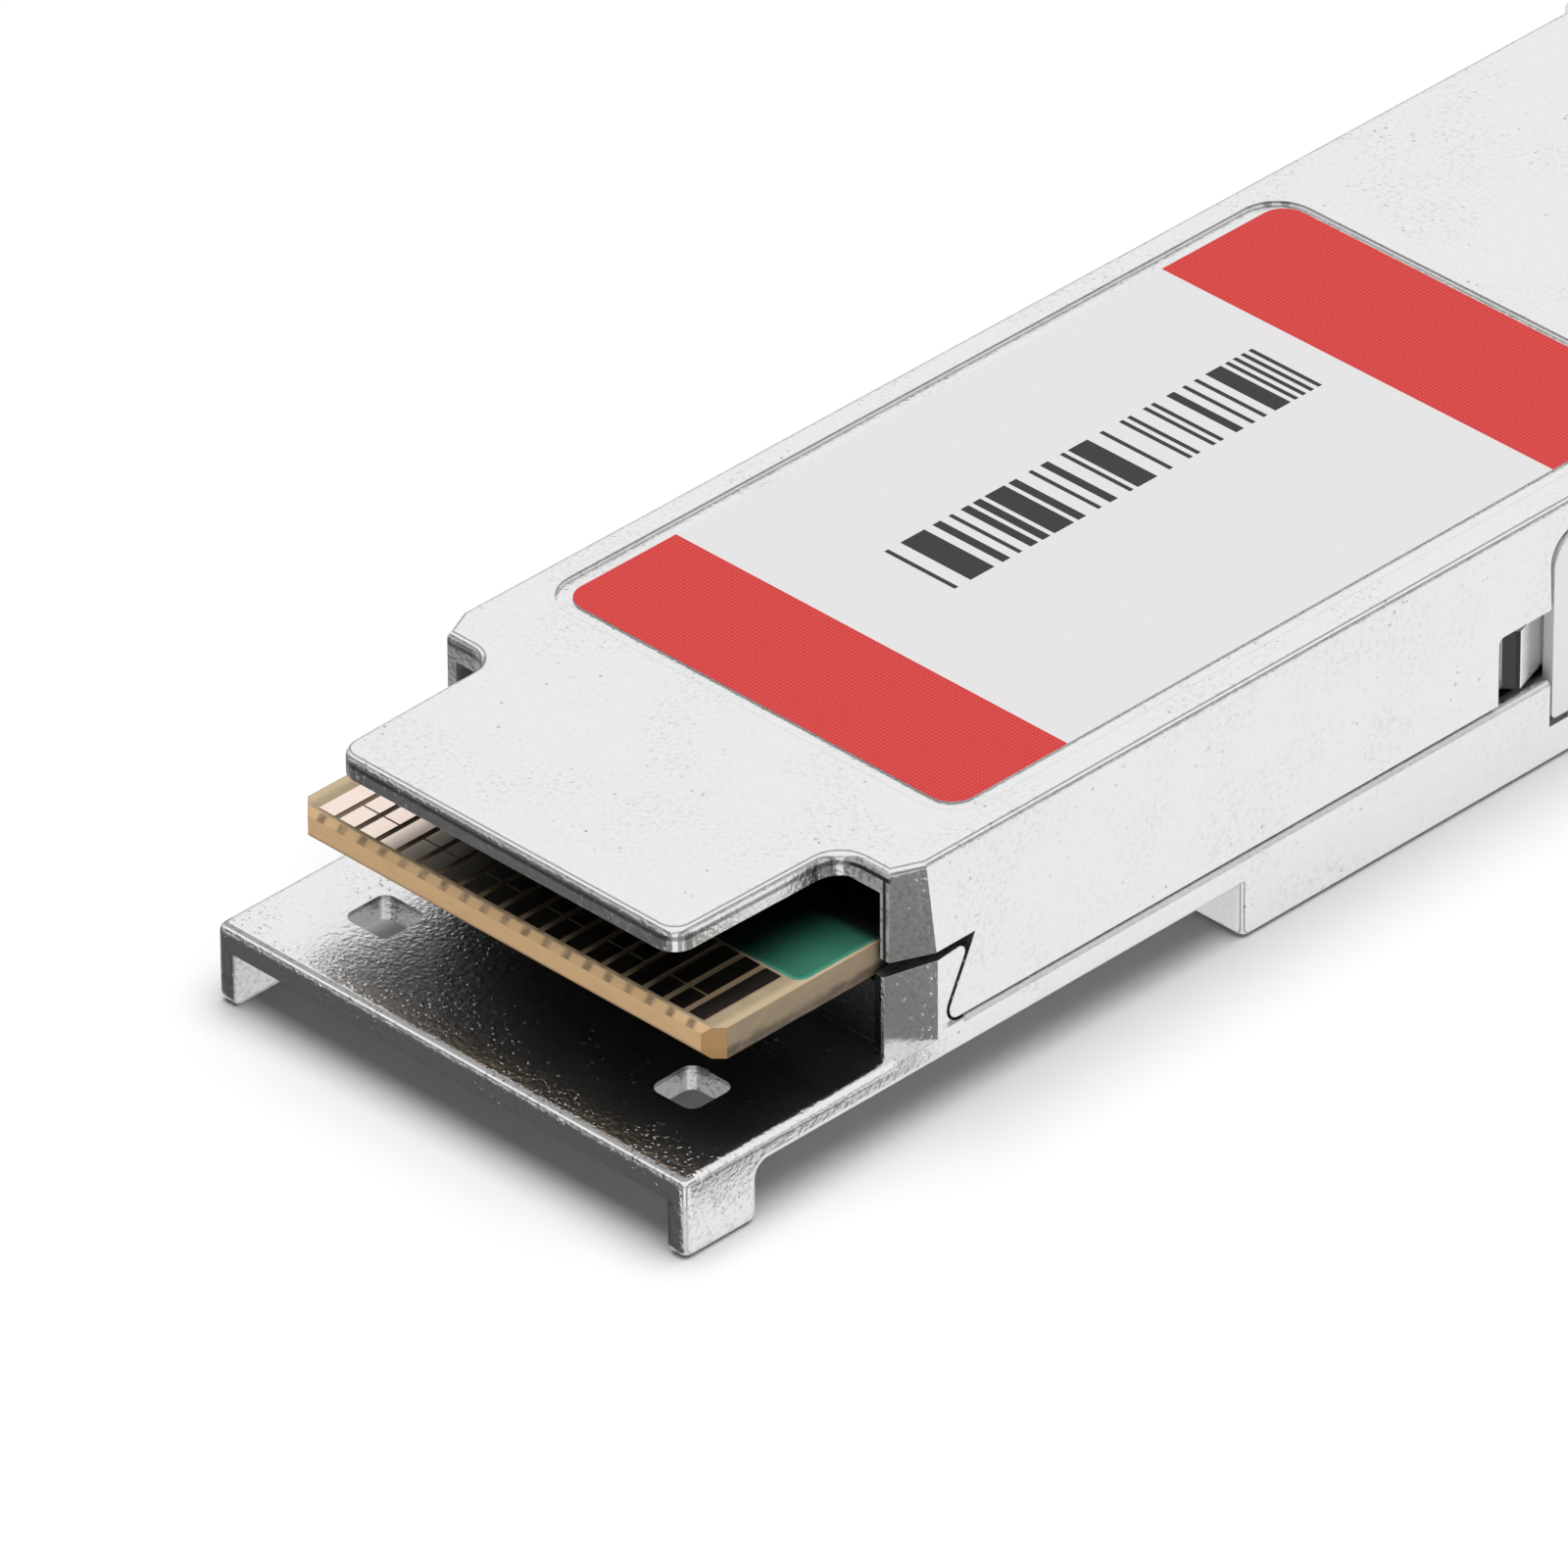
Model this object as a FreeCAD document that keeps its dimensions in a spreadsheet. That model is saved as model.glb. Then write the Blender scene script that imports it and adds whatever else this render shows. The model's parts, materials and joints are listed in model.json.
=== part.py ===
"""Pluggable optical transceiver module: die-cast shells, card edge, duplex port and pull-tab release.

Lengths are in millimetres. X runs across the module, Y from the card-edge end to the optical end, and Z
up from the table that the module lies on, label side up. Every piece is drawn with Y measured from the
card-end edge of the housing, and its placement then centres the whole module on the origin.
"""
import FreeCAD
import Part
import Sketcher
import math
import operator
import os
from collections import namedtuple

SIZES = [
    ("body_width", 18.35, "width of the housing"),
    ("body_height", 8.5, "height of the housing"),
    ("body_length", 72.4, "card-end edge of the housing to the face of the port"),
    ("floor_raise", 1.78, "underside of the card-end plate above the table"),
    ("plate_thick", 0.8, "thickness of the card-end plate"),
    ("rim_rise", 0.27, "tray's side rims above the card-end plate"),
    ("floor_thick", 0.9, "thickness of the tray's floor"),
    ("lid_thick", 0.9, "thickness of the lid's top"),
    ("wall_thick", 1.3, "thickness of the lid's side walls"),
    ("wall_draft", 0.14, "how far the lid's walls lean in above the crease"),
    ("crease_level", 5.12, "height of the crease along the lid's walls"),
    ("seam_gap", 0.1, "gap in the seam between the shells"),
    ("edge_round", 0.28, "rounding or bevel of the castings' outer edges"),
    ("cut_margin", 1.0, "how far a cut runs past the face that it opens"),
    ("shoulder_start", 8.52, "card-end edge to the shoulders of the housing"),
    ("lead_width", 0.58, "lead-in chamfer on the shoulders, across"),
    ("lead_length", 1.31, "lead-in chamfer on the shoulders, along"),
    ("mouth_wall", 0.925, "thickness of the side walls at the card's mouth"),
    ("mouth_depth", 3.7, "depth of the wider mouth behind the shoulders"),
    ("sill_height", 2.05, "height of the sill across the tray below the card"),
    ("sill_thick", 1.2, "thickness of the sill below the card"),
    ("leg_length", 2.86, "length of the legs at the card end"),
    ("leg_width", 0.64, "width of the legs at the card end"),
    ("leg_fillet", 0.42, "fillet between leg and plate"),
    ("leg_round", 0.35, "rounding of the legs' and the skirt's lower corners"),
    ("skirt_start", 21.95, "card-end edge to the full-depth part of the tray"),
    ("hole_size", 1.7, "square holes in the card-end plate"),
    ("hole_round", 0.38, "corner radius of the square holes"),
    ("hole_inset", 3.175, "sides of the housing to the centres of the square holes"),
    ("hole_setback", 3.47, "card-end edge to the centres of the square holes"),
    ("nose_start", 2.255, "card-end edge to the lid's nose plate"),
    ("nose_tip_inset", 2.575, "sides of the housing to the nose plate's free corners"),
    ("nose_root_inset", 2.445, "sides of the housing to the nose plate's root"),
    ("nose_thick", 0.8, "thickness of the nose plate"),
    ("nose_round", 0.7, "radius of the nose plate's free corners"),
    ("notch_round", 0.9, "radius of the notches beside the nose plate"),
    ("post_height", 2.43, "height of the tray's posts above the seam"),
    ("post_lead", 0.2, "tray's posts in front of the lid's shoulders"),
    ("post_slope", 0.22, "fall of the posts' tops towards the card end"),
    ("hook_reach", 2.55, "shoulders to the tip of the hook on each post"),
    ("hook_round", 0.25, "rounding of the hook's tip"),
    ("neck_reach", 1.36, "shoulders to the neck of the hook at the seam"),
    ("neck_round", 0.5, "radius in the neck of the hook"),
    ("hook_gap", 0.17, "open split above the posts"),
    ("hook_slot", 0.15, "open split beside the hooks"),
    ("label_start", 12.0, "card-end edge to the label"),
    ("label_length", 29.18, "length of the label"),
    ("label_inset", 1.555, "sides of the housing to the label"),
    ("label_round", 0.8, "corner radius of the label"),
    ("label_thick", 0.05, "thickness of the label"),
    ("label_margin", 0.5, "border of the label's recess beside and before the label"),
    ("label_margin_back", 0.22, "border of the label's recess behind the label"),
    ("label_recess", 0.12, "depth of the label's recess"),
    ("board_level", 4.94, "height of the board's lower face"),
    ("board_thick", 1.0, "thickness of the board"),
    ("board_space", 3.4, "board's far end to the laser cans"),
    ("board_gap", 0.12, "gap between the board and the lid's walls"),
    ("card_start", 2.17, "card-end edge of the housing to the card's edge"),
    ("card_gap", 0.08, "gap between the card and the walls of the mouth"),
    ("card_stop", 0.2, "gap between the card's shoulders and the end of the mouth"),
    ("card_chamfer", 0.5, "chamfer on the card's corners"),
    ("card_bevel", 0.2, "bevel along the card's front edges"),
    ("ledge_width", 0.6, "width of the ledges that carry the board"),
    ("ledge_gap", 0.1, "gap between the ledges and the lid's walls"),
    ("contact_count", 19, "contacts on each face of the card"),
    ("contact_pitch", 0.8, "pitch of the contacts"),
    ("contact_width", 0.6, "width of a contact"),
    ("contact_length", 3.0, "length of a contact"),
    ("contact_setback", 0.29, "card's edge to the contacts"),
    ("contact_lead", 0.9, "length of the separate lead pad of a split contact"),
    ("contact_split", 0.06, "gap in a split contact"),
    ("contact_thick", 0.04, "thickness of a contact"),
    ("pocket_start", 32.34, "card-end edge to the latch pockets"),
    ("pocket_height", 2.34, "height of the latch pockets above the seam"),
    ("pocket_depth", 1.0, "depth of the latch pockets"),
    ("pocket_round", 0.2, "corner radius of the latch pockets"),
    ("sheet_thick", 0.4, "thickness of the slide's sheet metal"),
    ("slide_travel", 2.5, "travel of the slide"),
    ("slide_gap", 0.05, "gap on each face of the slide's arms"),
    ("arm_gap", 0.15, "gap round the edges of the slide's arms"),
    ("tip_room", 0.55, "latch tips behind the front of their pockets"),
    ("arm_low", 1.4, "lower edge of the arms"),
    ("arm_drop", 1.1, "upper edge of the arms below the lid's top"),
    ("arm_round", 1.0, "radius of the arms' upper front corner"),
    ("arm_reach", 6.6, "how far the arms stand out past the port"),
    ("arm_end_low", 2.3, "lower edge of the arms' far ends"),
    ("arm_end_high", 6.1, "upper edge of the arms' far ends"),
    ("tip_reach", 1.75, "latch tips in front of the arms"),
    ("tip_clear", 0.2, "latch tips clear of the pocket's upper and lower edges"),
    ("tip_inset", 0.45, "step inwards from the arm to the latch tip"),
    ("tip_bulge", 0.43, "rise of the ridge across the latch tip"),
    ("tip_round", 0.2, "rounding of the latch tip"),
    ("tip_blend", 1.0, "length over which the latch tip steps in from the arm"),
    ("bridge_lead", 1.8, "rear face of the head to the slide's bridge"),
    ("bridge_inset", 0.9, "slide's bridge behind the port's face"),
    ("bridge_level", 0.25, "lower face of the slide's bridge"),
    ("bend_round", 0.2, "inner bend radius of the slide"),
    ("lug_setback", 3.4, "front of the arms to the slide's spring lugs"),
    ("spring_length", 6.5, "length of the return springs at rest"),
    ("spring_size", 0.9, "outer diameter of the return springs"),
    ("spring_wire", 0.14, "wire of the return springs"),
    ("spring_pitch", 2.0, "pitch of the return springs"),
    ("spring_level", 1.9, "height of the springs' axes"),
    ("spring_room", 0.1, "room round the return springs"),
    ("head_lead", 1.3, "rear face of the head to the port block"),
    ("groove_length", 4.0, "length of the groove for the shielding collar"),
    ("groove_depth", 0.8, "depth of the groove and the slide's recess below"),
    ("head_flare", 0.525, "sides of the head beyond the housing"),
    ("head_round", 0.8, "rounding of the head's long edges"),
    ("collar_thick", 0.15, "sheet thickness of the shielding collar"),
    ("collar_gap", 0.2, "collar clear of the groove's ends"),
    ("finger_rise", 0.4, "rise of the collar's spring fingers"),
    ("finger_width", 1.4, "width of the collar's spring fingers"),
    ("finger_pitch", 1.95, "pitch of the collar's spring fingers"),
    ("finger_ramp", 0.6, "radius of the spring fingers' crests"),
    ("finger_columns", 8, "spring fingers on the collar's upper and lower faces"),
    ("finger_rows", 3, "spring fingers on each side of the collar"),
    ("port_pitch", 6.25, "distance between the two ports"),
    ("port_opening", 4.6, "width and height of a port"),
    ("port_depth", 9.8, "depth of a port"),
    ("port_back", 2.6, "thickness of the port block's back wall"),
    ("port_wall", 0.65, "wall below and above the ports"),
    ("port_side", 0.725, "lid's inner walls to the port block"),
    ("keyway_width", 3.4, "width of the slot for a plug's latch"),
    ("keyway_height", 1.9, "height of the slot for a plug's latch"),
    ("catch_setback", 3.0, "port's face to the catch for a plug's latch"),
    ("fit_gap", 0.05, "gap of close fits"),
    ("nozzle_size", 2.9, "outer diameter of the optical nozzles"),
    ("nozzle_setback", 4.6, "port's face to the nozzles' tips"),
    ("nozzle_bore", 1.66, "bore of the optical nozzles"),
    ("flange_size", 4.0, "diameter of the optical assemblies' flanges"),
    ("flange_thick", 1.4, "thickness of the flanges"),
    ("neck_size", 3.4, "diameter of the necks behind the flanges"),
    ("neck_length", 1.2, "length of the necks"),
    ("optic_width", 4.2, "width of the optical assemblies' bodies"),
    ("optic_height", 4.0, "height of the optical assemblies' bodies"),
    ("optic_round", 0.2, "rounding of the optical assemblies' bodies"),
    ("optic_length", 6.1, "length of the optical assemblies' bodies"),
    ("can_size", 3.7, "diameter of the laser cans"),
    ("can_length", 2.7, "length of the laser cans"),
    ("rim_size", 4.0, "diameter of the laser cans' rims"),
    ("rim_thick", 0.6, "thickness of the laser cans' rims"),
    ("sleeve_size", 1.6, "outer diameter of the alignment sleeves"),
    ("sleeve_bore", 1.27, "bore of the alignment sleeves"),
    ("sleeve_length", 7.0, "length of the alignment sleeves"),
    ("sleeve_setback", 0.4, "nozzles' tips to the alignment sleeves"),
    ("sleeve_slit", 0.2, "slit along the alignment sleeves"),
    ("stub_size", 1.25, "diameter of the fibre stubs"),
    ("stub_length", 3.0, "length of the fibre stubs"),
    ("clamp_gap", 0.2, "gap between the optics clamp and the side walls"),
    ("flex_width", 2.2, "width of the flexible circuits"),
    ("flex_thick", 0.15, "thickness of the flexible circuits"),
    ("flex_lap", 3.0, "length of the flexible circuits on the board"),
    ("flex_drop", 1.2, "flexible circuits below the optical axis"),
    ("flex_bend", 0.5, "bend radius of the flexible circuits"),
    ("boss_lead", 1.7, "screw bosses behind the laser cans"),
    ("boss_inset", 1.5, "lid's inner walls to the screws"),
    ("lid_boss_size", 2.2, "diameter of the lid's screw bosses"),
    ("tray_boss_size", 3.7, "diameter of the tray's screw bosses"),
    ("screw_size", 1.6, "thread diameter of the screws"),
    ("screw_length", 4.6, "length of the screws below their heads"),
    ("screw_gap", 0.02, "gap round the screws in the lid's bosses"),
    ("screw_room", 0.1, "room round the screws in the tray and past their ends"),
    ("screw_head_size", 2.5, "diameter of the screws' heads"),
    ("screw_head_thick", 0.8, "thickness of the screws' heads"),
    ("screw_sink", 0.15, "screws' heads below the tray's underside"),
    ("drive_length", 1.5, "length of the cross recess in the screws"),
    ("drive_width", 0.35, "width of the cross recess in the screws"),
    ("drive_depth", 0.4, "depth of the cross recess in the screws"),
    ("processor_size", 7.0, "edge of the signal processor"),
    ("processor_thick", 0.5, "thickness of the signal processor"),
    ("processor_place", 19.5, "card-end edge to the signal processor"),
    ("controller_size", 4.0, "edge of the microcontroller"),
    ("controller_thick", 0.7, "thickness of the microcontroller"),
    ("controller_back", 10.0, "board's far end to the microcontroller"),
    ("controller_side", 3.5, "microcontroller to the left of the middle"),
    ("driver_size", 3.0, "edge of the laser driver and the receiver amplifier"),
    ("driver_thick", 0.6, "thickness of the laser driver and the receiver amplifier"),
    ("driver_back", 4.9, "board's far end to the laser driver and the amplifier"),
    ("inductor_count", 2, "power inductors"),
    ("inductor_size", 2.5, "edge of the power inductors"),
    ("inductor_thick", 0.75, "thickness of the power inductors"),
    ("inductor_back", 11.2, "board's far end to the first power inductor"),
    ("inductor_side", 2.2, "power inductors to the right of the middle"),
    ("inductor_pitch", 3.0, "pitch of the power inductors"),
    ("capacitor_count", 5, "capacitors on each side of the signal processor"),
    ("capacitor_length", 1.0, "length of a capacitor"),
    ("capacitor_width", 0.5, "width and height of a capacitor"),
    ("capacitor_pitch", 1.2, "pitch of the capacitors"),
    ("capacitor_gap", 1.0, "capacitors clear of the signal processor"),
    ("tab_gap", 0.4, "gap between the head and the pull tab"),
    ("tab_length", 45.2, "length of the pull tab"),
    ("tab_width", 13.2, "width of the pull tab's grip"),
    ("tab_thick", 1.6, "thickness of the pull tab"),
    ("tab_level", 0.15, "pull tab above the table"),
    ("tab_round", 4.0, "radius of the pull tab's corners"),
    ("tab_neck", 8.0, "length over which the pull tab narrows"),
    ("cheek_length", 8.2, "length of the pull tab's cheeks"),
    ("cheek_wall", 0.45, "pull tab's walls on both faces of the arms"),
    ("cheek_cover", 0.7, "cheeks past the upper edge of the arms' ends"),
    ("cheek_round", 1.2, "rounding of the cheeks' upper corners"),
    ("rib_count", 7, "ribs on the pull tab's grip"),
    ("rib_pitch", 2.4, "pitch of the grip's ribs"),
    ("rib_width", 0.9, "width of a rib"),
    ("rib_length", 9.0, "length of a rib"),
    ("rib_height", 0.45, "height of a rib"),
    ("rib_setback", 4.5, "end of the pull tab to the last rib"),
]

SHEET = "Sizes"
SPLIT_CONTACTS = (1, 2, 4, 5, 7, 8, 10, 11, 13, 14, 16, 17)
SIDES = (("left", -1), ("right", 1))
ARITHMETIC = {"+": operator.add, "-": operator.sub, "*": operator.mul, "/": operator.truediv}
NORMAL_SIGN = {"XY_Plane": 1, "YZ_Plane": 1, "XZ_Plane": -1}
TOUCH = 1e-4

Circle = namedtuple("Circle", "across up radius")


class Size:
    """A length together with the sheet expression that gives it."""

    def __init__(self, value, text):
        self.value = value
        self.text = text

    def __float__(self):
        return float(self.value)

    def __neg__(self):
        return 0 - self

    def __add__(self, other):
        return combined("+", self, other)

    def __radd__(self, other):
        return combined("+", other, self)

    def __sub__(self, other):
        return combined("-", self, other)

    def __rsub__(self, other):
        return combined("-", other, self)

    def __mul__(self, other):
        return combined("*", self, other)

    def __rmul__(self, other):
        return combined("*", other, self)

    def __truediv__(self, other):
        return combined("/", self, other)


def text_of(number):
    """The expression of a length, or of a plain number."""
    if isinstance(number, Size):
        return number.text
    return f"({number})"


def combined(sign, first, second):
    """The sum, difference, product or quotient of two lengths, as value and as expression."""
    value = ARITHMETIC[sign](float(first), float(second))
    return Size(value, f"({text_of(first)} {sign} {text_of(second)})")


def whole(size):
    """A count of the sheet as a plain number."""
    return int(float(size))


def bind(item, name, size):
    """Ties a property to a length of the sheet."""
    item.setExpression(name, text_of(size))


doc = FreeCAD.newDocument("transceiver")
sheet = doc.addObject("Spreadsheet::Sheet", SHEET)
for row, (alias, value, note) in enumerate(SIZES, 1):
    sheet.set(f"A{row}", alias)
    sheet.set(f"B{row}", str(value))
    sheet.set(f"C{row}", note)
    sheet.setAlias(f"B{row}", alias)
doc.recompute()


class Sizes:
    """The driving sizes, by name."""

    def __getattr__(self, name):
        return Size(float(sheet.get(name)), f"{SHEET}.{name}")


s = Sizes()

# places that several pieces share
half = s.body_width / 2
plate_top = s.floor_raise + s.plate_thick
seam = plate_top + s.rim_rise
wall_foot = seam + s.seam_gap
lid_under = s.body_height - s.lid_thick
inner_half = half - s.wall_thick
mouth_half = half - s.mouth_wall
mouth_end = s.shoulder_start + s.mouth_depth
post_top = seam + s.post_height
ledge_outer = inner_half - s.ledge_gap
cavity_half = ledge_outer - s.ledge_width
label_half = half - s.label_inset
label_end = s.label_start + s.label_length
board_top = s.board_level + s.board_thick
recess_half = half - s.sheet_thick - 2 * s.slide_gap
arm_inner = recess_half + s.slide_gap
arm_outer = arm_inner + s.sheet_thick
arm_start = s.pocket_start + s.tip_room + s.tip_reach
arm_high = s.body_height - s.arm_drop
arm_end = s.body_length + s.arm_reach
recess_low = s.arm_low - s.arm_gap
recess_high = arm_high + s.arm_gap
recess_start = arm_start - s.arm_gap
pocket_top = seam + s.pocket_height
pocket_end = arm_start + s.tip_blend + s.slide_travel + s.arm_gap
spring_half = s.spring_size / 2
spring_across = recess_half - s.spring_room - spring_half
lug_start = arm_start + s.lug_setback
spring_start = lug_start + s.sheet_thick
spring_end = spring_start + s.spring_length
head_floor = s.groove_depth + s.floor_thick
head_half = half + s.head_flare
port_top = head_floor + 2 * s.port_wall + s.port_opening + s.keyway_height
head_top = port_top + s.fit_gap + s.lid_thick
port_half = inner_half - s.port_side
head_room = port_half + s.fit_gap
port_bottom = head_floor + s.port_wall
port_end = s.body_length - s.port_depth
port_block_start = port_end - s.port_back
head_start = port_block_start - s.head_lead
groove_start = head_start - s.groove_length
cavity_end = groove_start - s.floor_thick
axis_level = port_bottom + s.port_opening / 2
nozzle_tip = s.body_length - s.nozzle_setback
flange_start = port_block_start - s.flange_thick
neck_start = flange_start - s.neck_length
optic_start = neck_start - s.optic_length
can_start = optic_start - s.can_length
rim_start = can_start - s.rim_thick
bore_end = nozzle_tip - s.sleeve_setback - s.sleeve_length - s.sleeve_setback
board_end = rim_start - s.board_space
boss_across = inner_half - s.boss_inset
boss_along = rim_start - s.boss_lead
tab_start = s.body_length + s.tab_gap
tab_end = tab_start + s.tab_length
tab_top = s.tab_level + s.tab_thick
screw_seat = s.screw_sink + s.screw_head_thick
parts = []


def named_part(kind, name):
    """A new object of the document that is one sub-part."""
    part = doc.addObject(kind, name)
    part.Label = name
    parts.append(part)
    return part


def set_in_place(part):
    """Moves a sub-part so that the whole module is centred along its length."""
    bind(part, "Placement.Base.y", -tab_end / 2)


def new_body(name):
    """A sub-part that is built from sketches."""
    body = named_part("PartDesign::Body", name)
    set_in_place(body)
    return body


def sketch_on(body, name, plane, height, across=0, up=0):
    """A sketch on one of the body's own planes, at a height along that plane's axis."""
    sketch = body.newObject("Sketcher::SketchObject", name)
    support = next(item for item in body.Origin.OriginFeatures if item.Role == plane)
    sketch.AttachmentSupport = (support, [""])
    sketch.MapMode = "FlatFace"
    bind(sketch, "AttachmentOffset.Base.x", across)
    bind(sketch, "AttachmentOffset.Base.y", up)
    bind(sketch, "AttachmentOffset.Base.z", height * NORMAL_SIGN[plane])
    return sketch


def measure(sketch, kind, first, first_end, second, second_end, size):
    """A dimension between two points of a sketch, tied to its length."""
    value = float(size)
    index = sketch.addConstraint(Sketcher.Constraint(kind, first, first_end, second, second_end, value))
    bind(sketch, f"Constraints[{index}]", size)


def fix_point(sketch, geometry, end, across, up):
    """Holds a point of a sketch at its two coordinates."""
    measure(sketch, "DistanceX", -1, 1, geometry, end, across)
    measure(sketch, "DistanceY", -1, 1, geometry, end, up)


def fix_radius(sketch, geometry, radius):
    """Holds the radius of an arc or a circle."""
    index = sketch.addConstraint(Sketcher.Constraint("Radius", geometry, float(radius)))
    bind(sketch, f"Constraints[{index}]", radius)


def draw_circle(sketch, circle):
    """Draws a circle held by its centre and radius."""
    centre = FreeCAD.Vector(float(circle.across), float(circle.up), 0)
    shape = Part.Circle(centre, FreeCAD.Vector(0, 0, 1), float(circle.radius))
    geometry = sketch.addGeometry(shape, False)
    fix_point(sketch, geometry, 3, circle.across, circle.up)
    fix_radius(sketch, geometry, circle.radius)


def rounded_corner(before, corner, after, radius):
    """Where a corner's arc starts and ends, its centre, and whether it turns left."""
    back = (before - corner).normalize()
    ahead = (after - corner).normalize()
    half_angle = back.getAngle(ahead) / 2
    trim = radius / math.tan(half_angle)
    middle = (back + ahead).normalize()
    centre = corner + middle * (radius / math.sin(half_angle))
    turns_left = ahead.cross(back).z > 0
    return corner + back * trim, corner + ahead * trim, centre, turns_left


def add_arc(sketch, start, end, centre, turns_left):
    """Adds the arc of a rounded corner and returns it with its two ends in walking order."""
    first, last = (start, end) if turns_left else (end, start)
    angles = [math.atan2(point.y - centre.y, point.x - centre.x) for point in (first, last)]
    if angles[1] < angles[0]:
        angles[1] += 2 * math.pi
    circle = Part.Circle(centre, FreeCAD.Vector(0, 0, 1), (start - centre).Length)
    geometry = sketch.addGeometry(Part.ArcOfCircle(circle, *angles), False)
    return (geometry, 1, 2) if turns_left else (geometry, 2, 1)


def draw_outline(sketch, corners):
    """Draws a closed outline through corners given as (across, up) or (across, up, radius)."""
    points = [FreeCAD.Vector(float(corner[0]), float(corner[1]), 0) for corner in corners]
    count = len(corners)
    starts = list(points)
    ends = list(points)
    arcs = {}
    for i, corner in enumerate(corners):
        if len(corner) > 2:
            before, after = points[i - 1], points[(i + 1) % count]
            ends[i], starts[i], *arc = rounded_corner(before, points[i], after, float(corner[2]))
            arcs[i] = add_arc(sketch, ends[i], starts[i], *arc)
    lines = []
    for i in range(count):
        segment = Part.LineSegment(starts[i], ends[(i + 1) % count])
        lines.append(sketch.addGeometry(segment, False))
    for i, corner in enumerate(corners):
        before, after = lines[i - 1], lines[i]
        if i not in arcs:
            sketch.addConstraint(Sketcher.Constraint("Coincident", before, 2, after, 1))
            fix_point(sketch, after, 1, corner[0], corner[1])
            continue
        arc, arc_start, arc_end = arcs[i]
        sketch.addConstraint(Sketcher.Constraint("Tangent", before, 2, arc, arc_start))
        sketch.addConstraint(Sketcher.Constraint("Tangent", arc, arc_end, after, 1))
        fix_radius(sketch, arc, corner[2])
        vertex = sketch.addGeometry(Part.Point(points[i]), True)
        sketch.addConstraint(Sketcher.Constraint("PointOnObject", vertex, 1, before))
        sketch.addConstraint(Sketcher.Constraint("PointOnObject", vertex, 1, after))
        fix_point(sketch, vertex, 1, corner[0], corner[1])


def rectangle(left, right, low, high, radius=None):
    """The corners of a rectangle, rounded if a radius is given."""
    corners = [(left, low), (right, low), (right, high), (left, high)]
    return corners if radius is None else [(across, up, radius) for across, up in corners]


def draw(sketch, outlines):
    """Draws circles and outlines in a sketch."""
    for item in outlines:
        if isinstance(item, Circle):
            draw_circle(sketch, item)
        else:
            draw_outline(sketch, item)


def checked(feature, grows, before):
    """Recomputes a feature and makes sure that it added or took away material."""
    doc.recompute()
    volume = feature.Shape.Volume
    if feature.State and ("Invalid" in feature.State or "Error" in feature.State):
        raise RuntimeError(f"{feature.Name} failed")
    if (volume <= before) if grows else (volume >= before):
        raise RuntimeError(f"{feature.Name} changed nothing")
    return feature


def volume_of(body):
    """The volume of a body so far."""
    return body.Tip.Shape.Volume if body.Tip else 0


def pad(body, name, plane, outlines, start, length):
    """Adds the outlines, swept from start along the plane's axis."""
    before = volume_of(body)
    sketch = sketch_on(body, f"{name}_outline", plane, start)
    draw(sketch, outlines)
    feature = body.newObject("PartDesign::Pad", name)
    feature.Profile = sketch
    feature.Reversed = NORMAL_SIGN[plane] < 0
    bind(feature, "Length", length)
    return checked(feature, True, before)


def pocket(body, name, plane, outlines, start, length):
    """Cuts the outlines, swept from start along the plane's axis."""
    before = volume_of(body)
    sketch = sketch_on(body, f"{name}_outline", plane, start)
    draw(sketch, outlines)
    feature = body.newObject("PartDesign::Pocket", name)
    feature.Profile = sketch
    feature.Reversed = NORMAL_SIGN[plane] > 0
    bind(feature, "Length", length)
    return checked(feature, False, before)


def edges_in(body, x=None, y=None, z=None):
    """Names of the edges that lie wholly at the given coordinates."""
    names = []
    for number, edge in enumerate(body.Tip.Shape.Edges, 1):
        box = edge.BoundBox
        spans = ((x, box.XMin, box.XMax), (y, box.YMin, box.YMax), (z, box.ZMin, box.ZMax))
        wanted = [(float(place), low, high) for place, low, high in spans if place is not None]
        if all(abs(low - place) < TOUCH and abs(high - place) < TOUCH for place, low, high in wanted):
            names.append(f"Edge{number}")
    return names


def round_edges(body, name, edges, radius):
    """Rounds the named edges of a body."""
    base = body.Tip
    feature = body.newObject("PartDesign::Fillet", name)
    feature.Base = (base, edges)
    bind(feature, "Radius", radius)
    doc.recompute()
    return feature


def bevel_edges(body, name, edges, size):
    """Bevels the named edges of a body."""
    before = volume_of(body)
    base = body.Tip
    feature = body.newObject("PartDesign::Chamfer", name)
    feature.Base = (base, edges)
    bind(feature, "Size", size)
    return checked(feature, False, before)


def side_span(side, near, far):
    """The lower end of a span from near to far on one side of the middle plane."""
    return near if side > 0 else -far


def lead_in(side, front):
    """The corner that the lead-in chamfer takes off one shoulder, seen from above."""
    edge = side * (half - s.lead_width)
    beyond = side * (half + s.cut_margin)
    chamfer_end = s.shoulder_start + s.lead_length
    ahead = front - s.cut_margin
    return [(edge, front), (side * half, chamfer_end), (beyond, chamfer_end), (beyond, ahead), (edge, ahead)]


def boss_circles(radius):
    """A circle round each of the two screws, seen from above."""
    return [Circle(side * boss_across, boss_along, radius) for _, side in SIDES]


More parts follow.
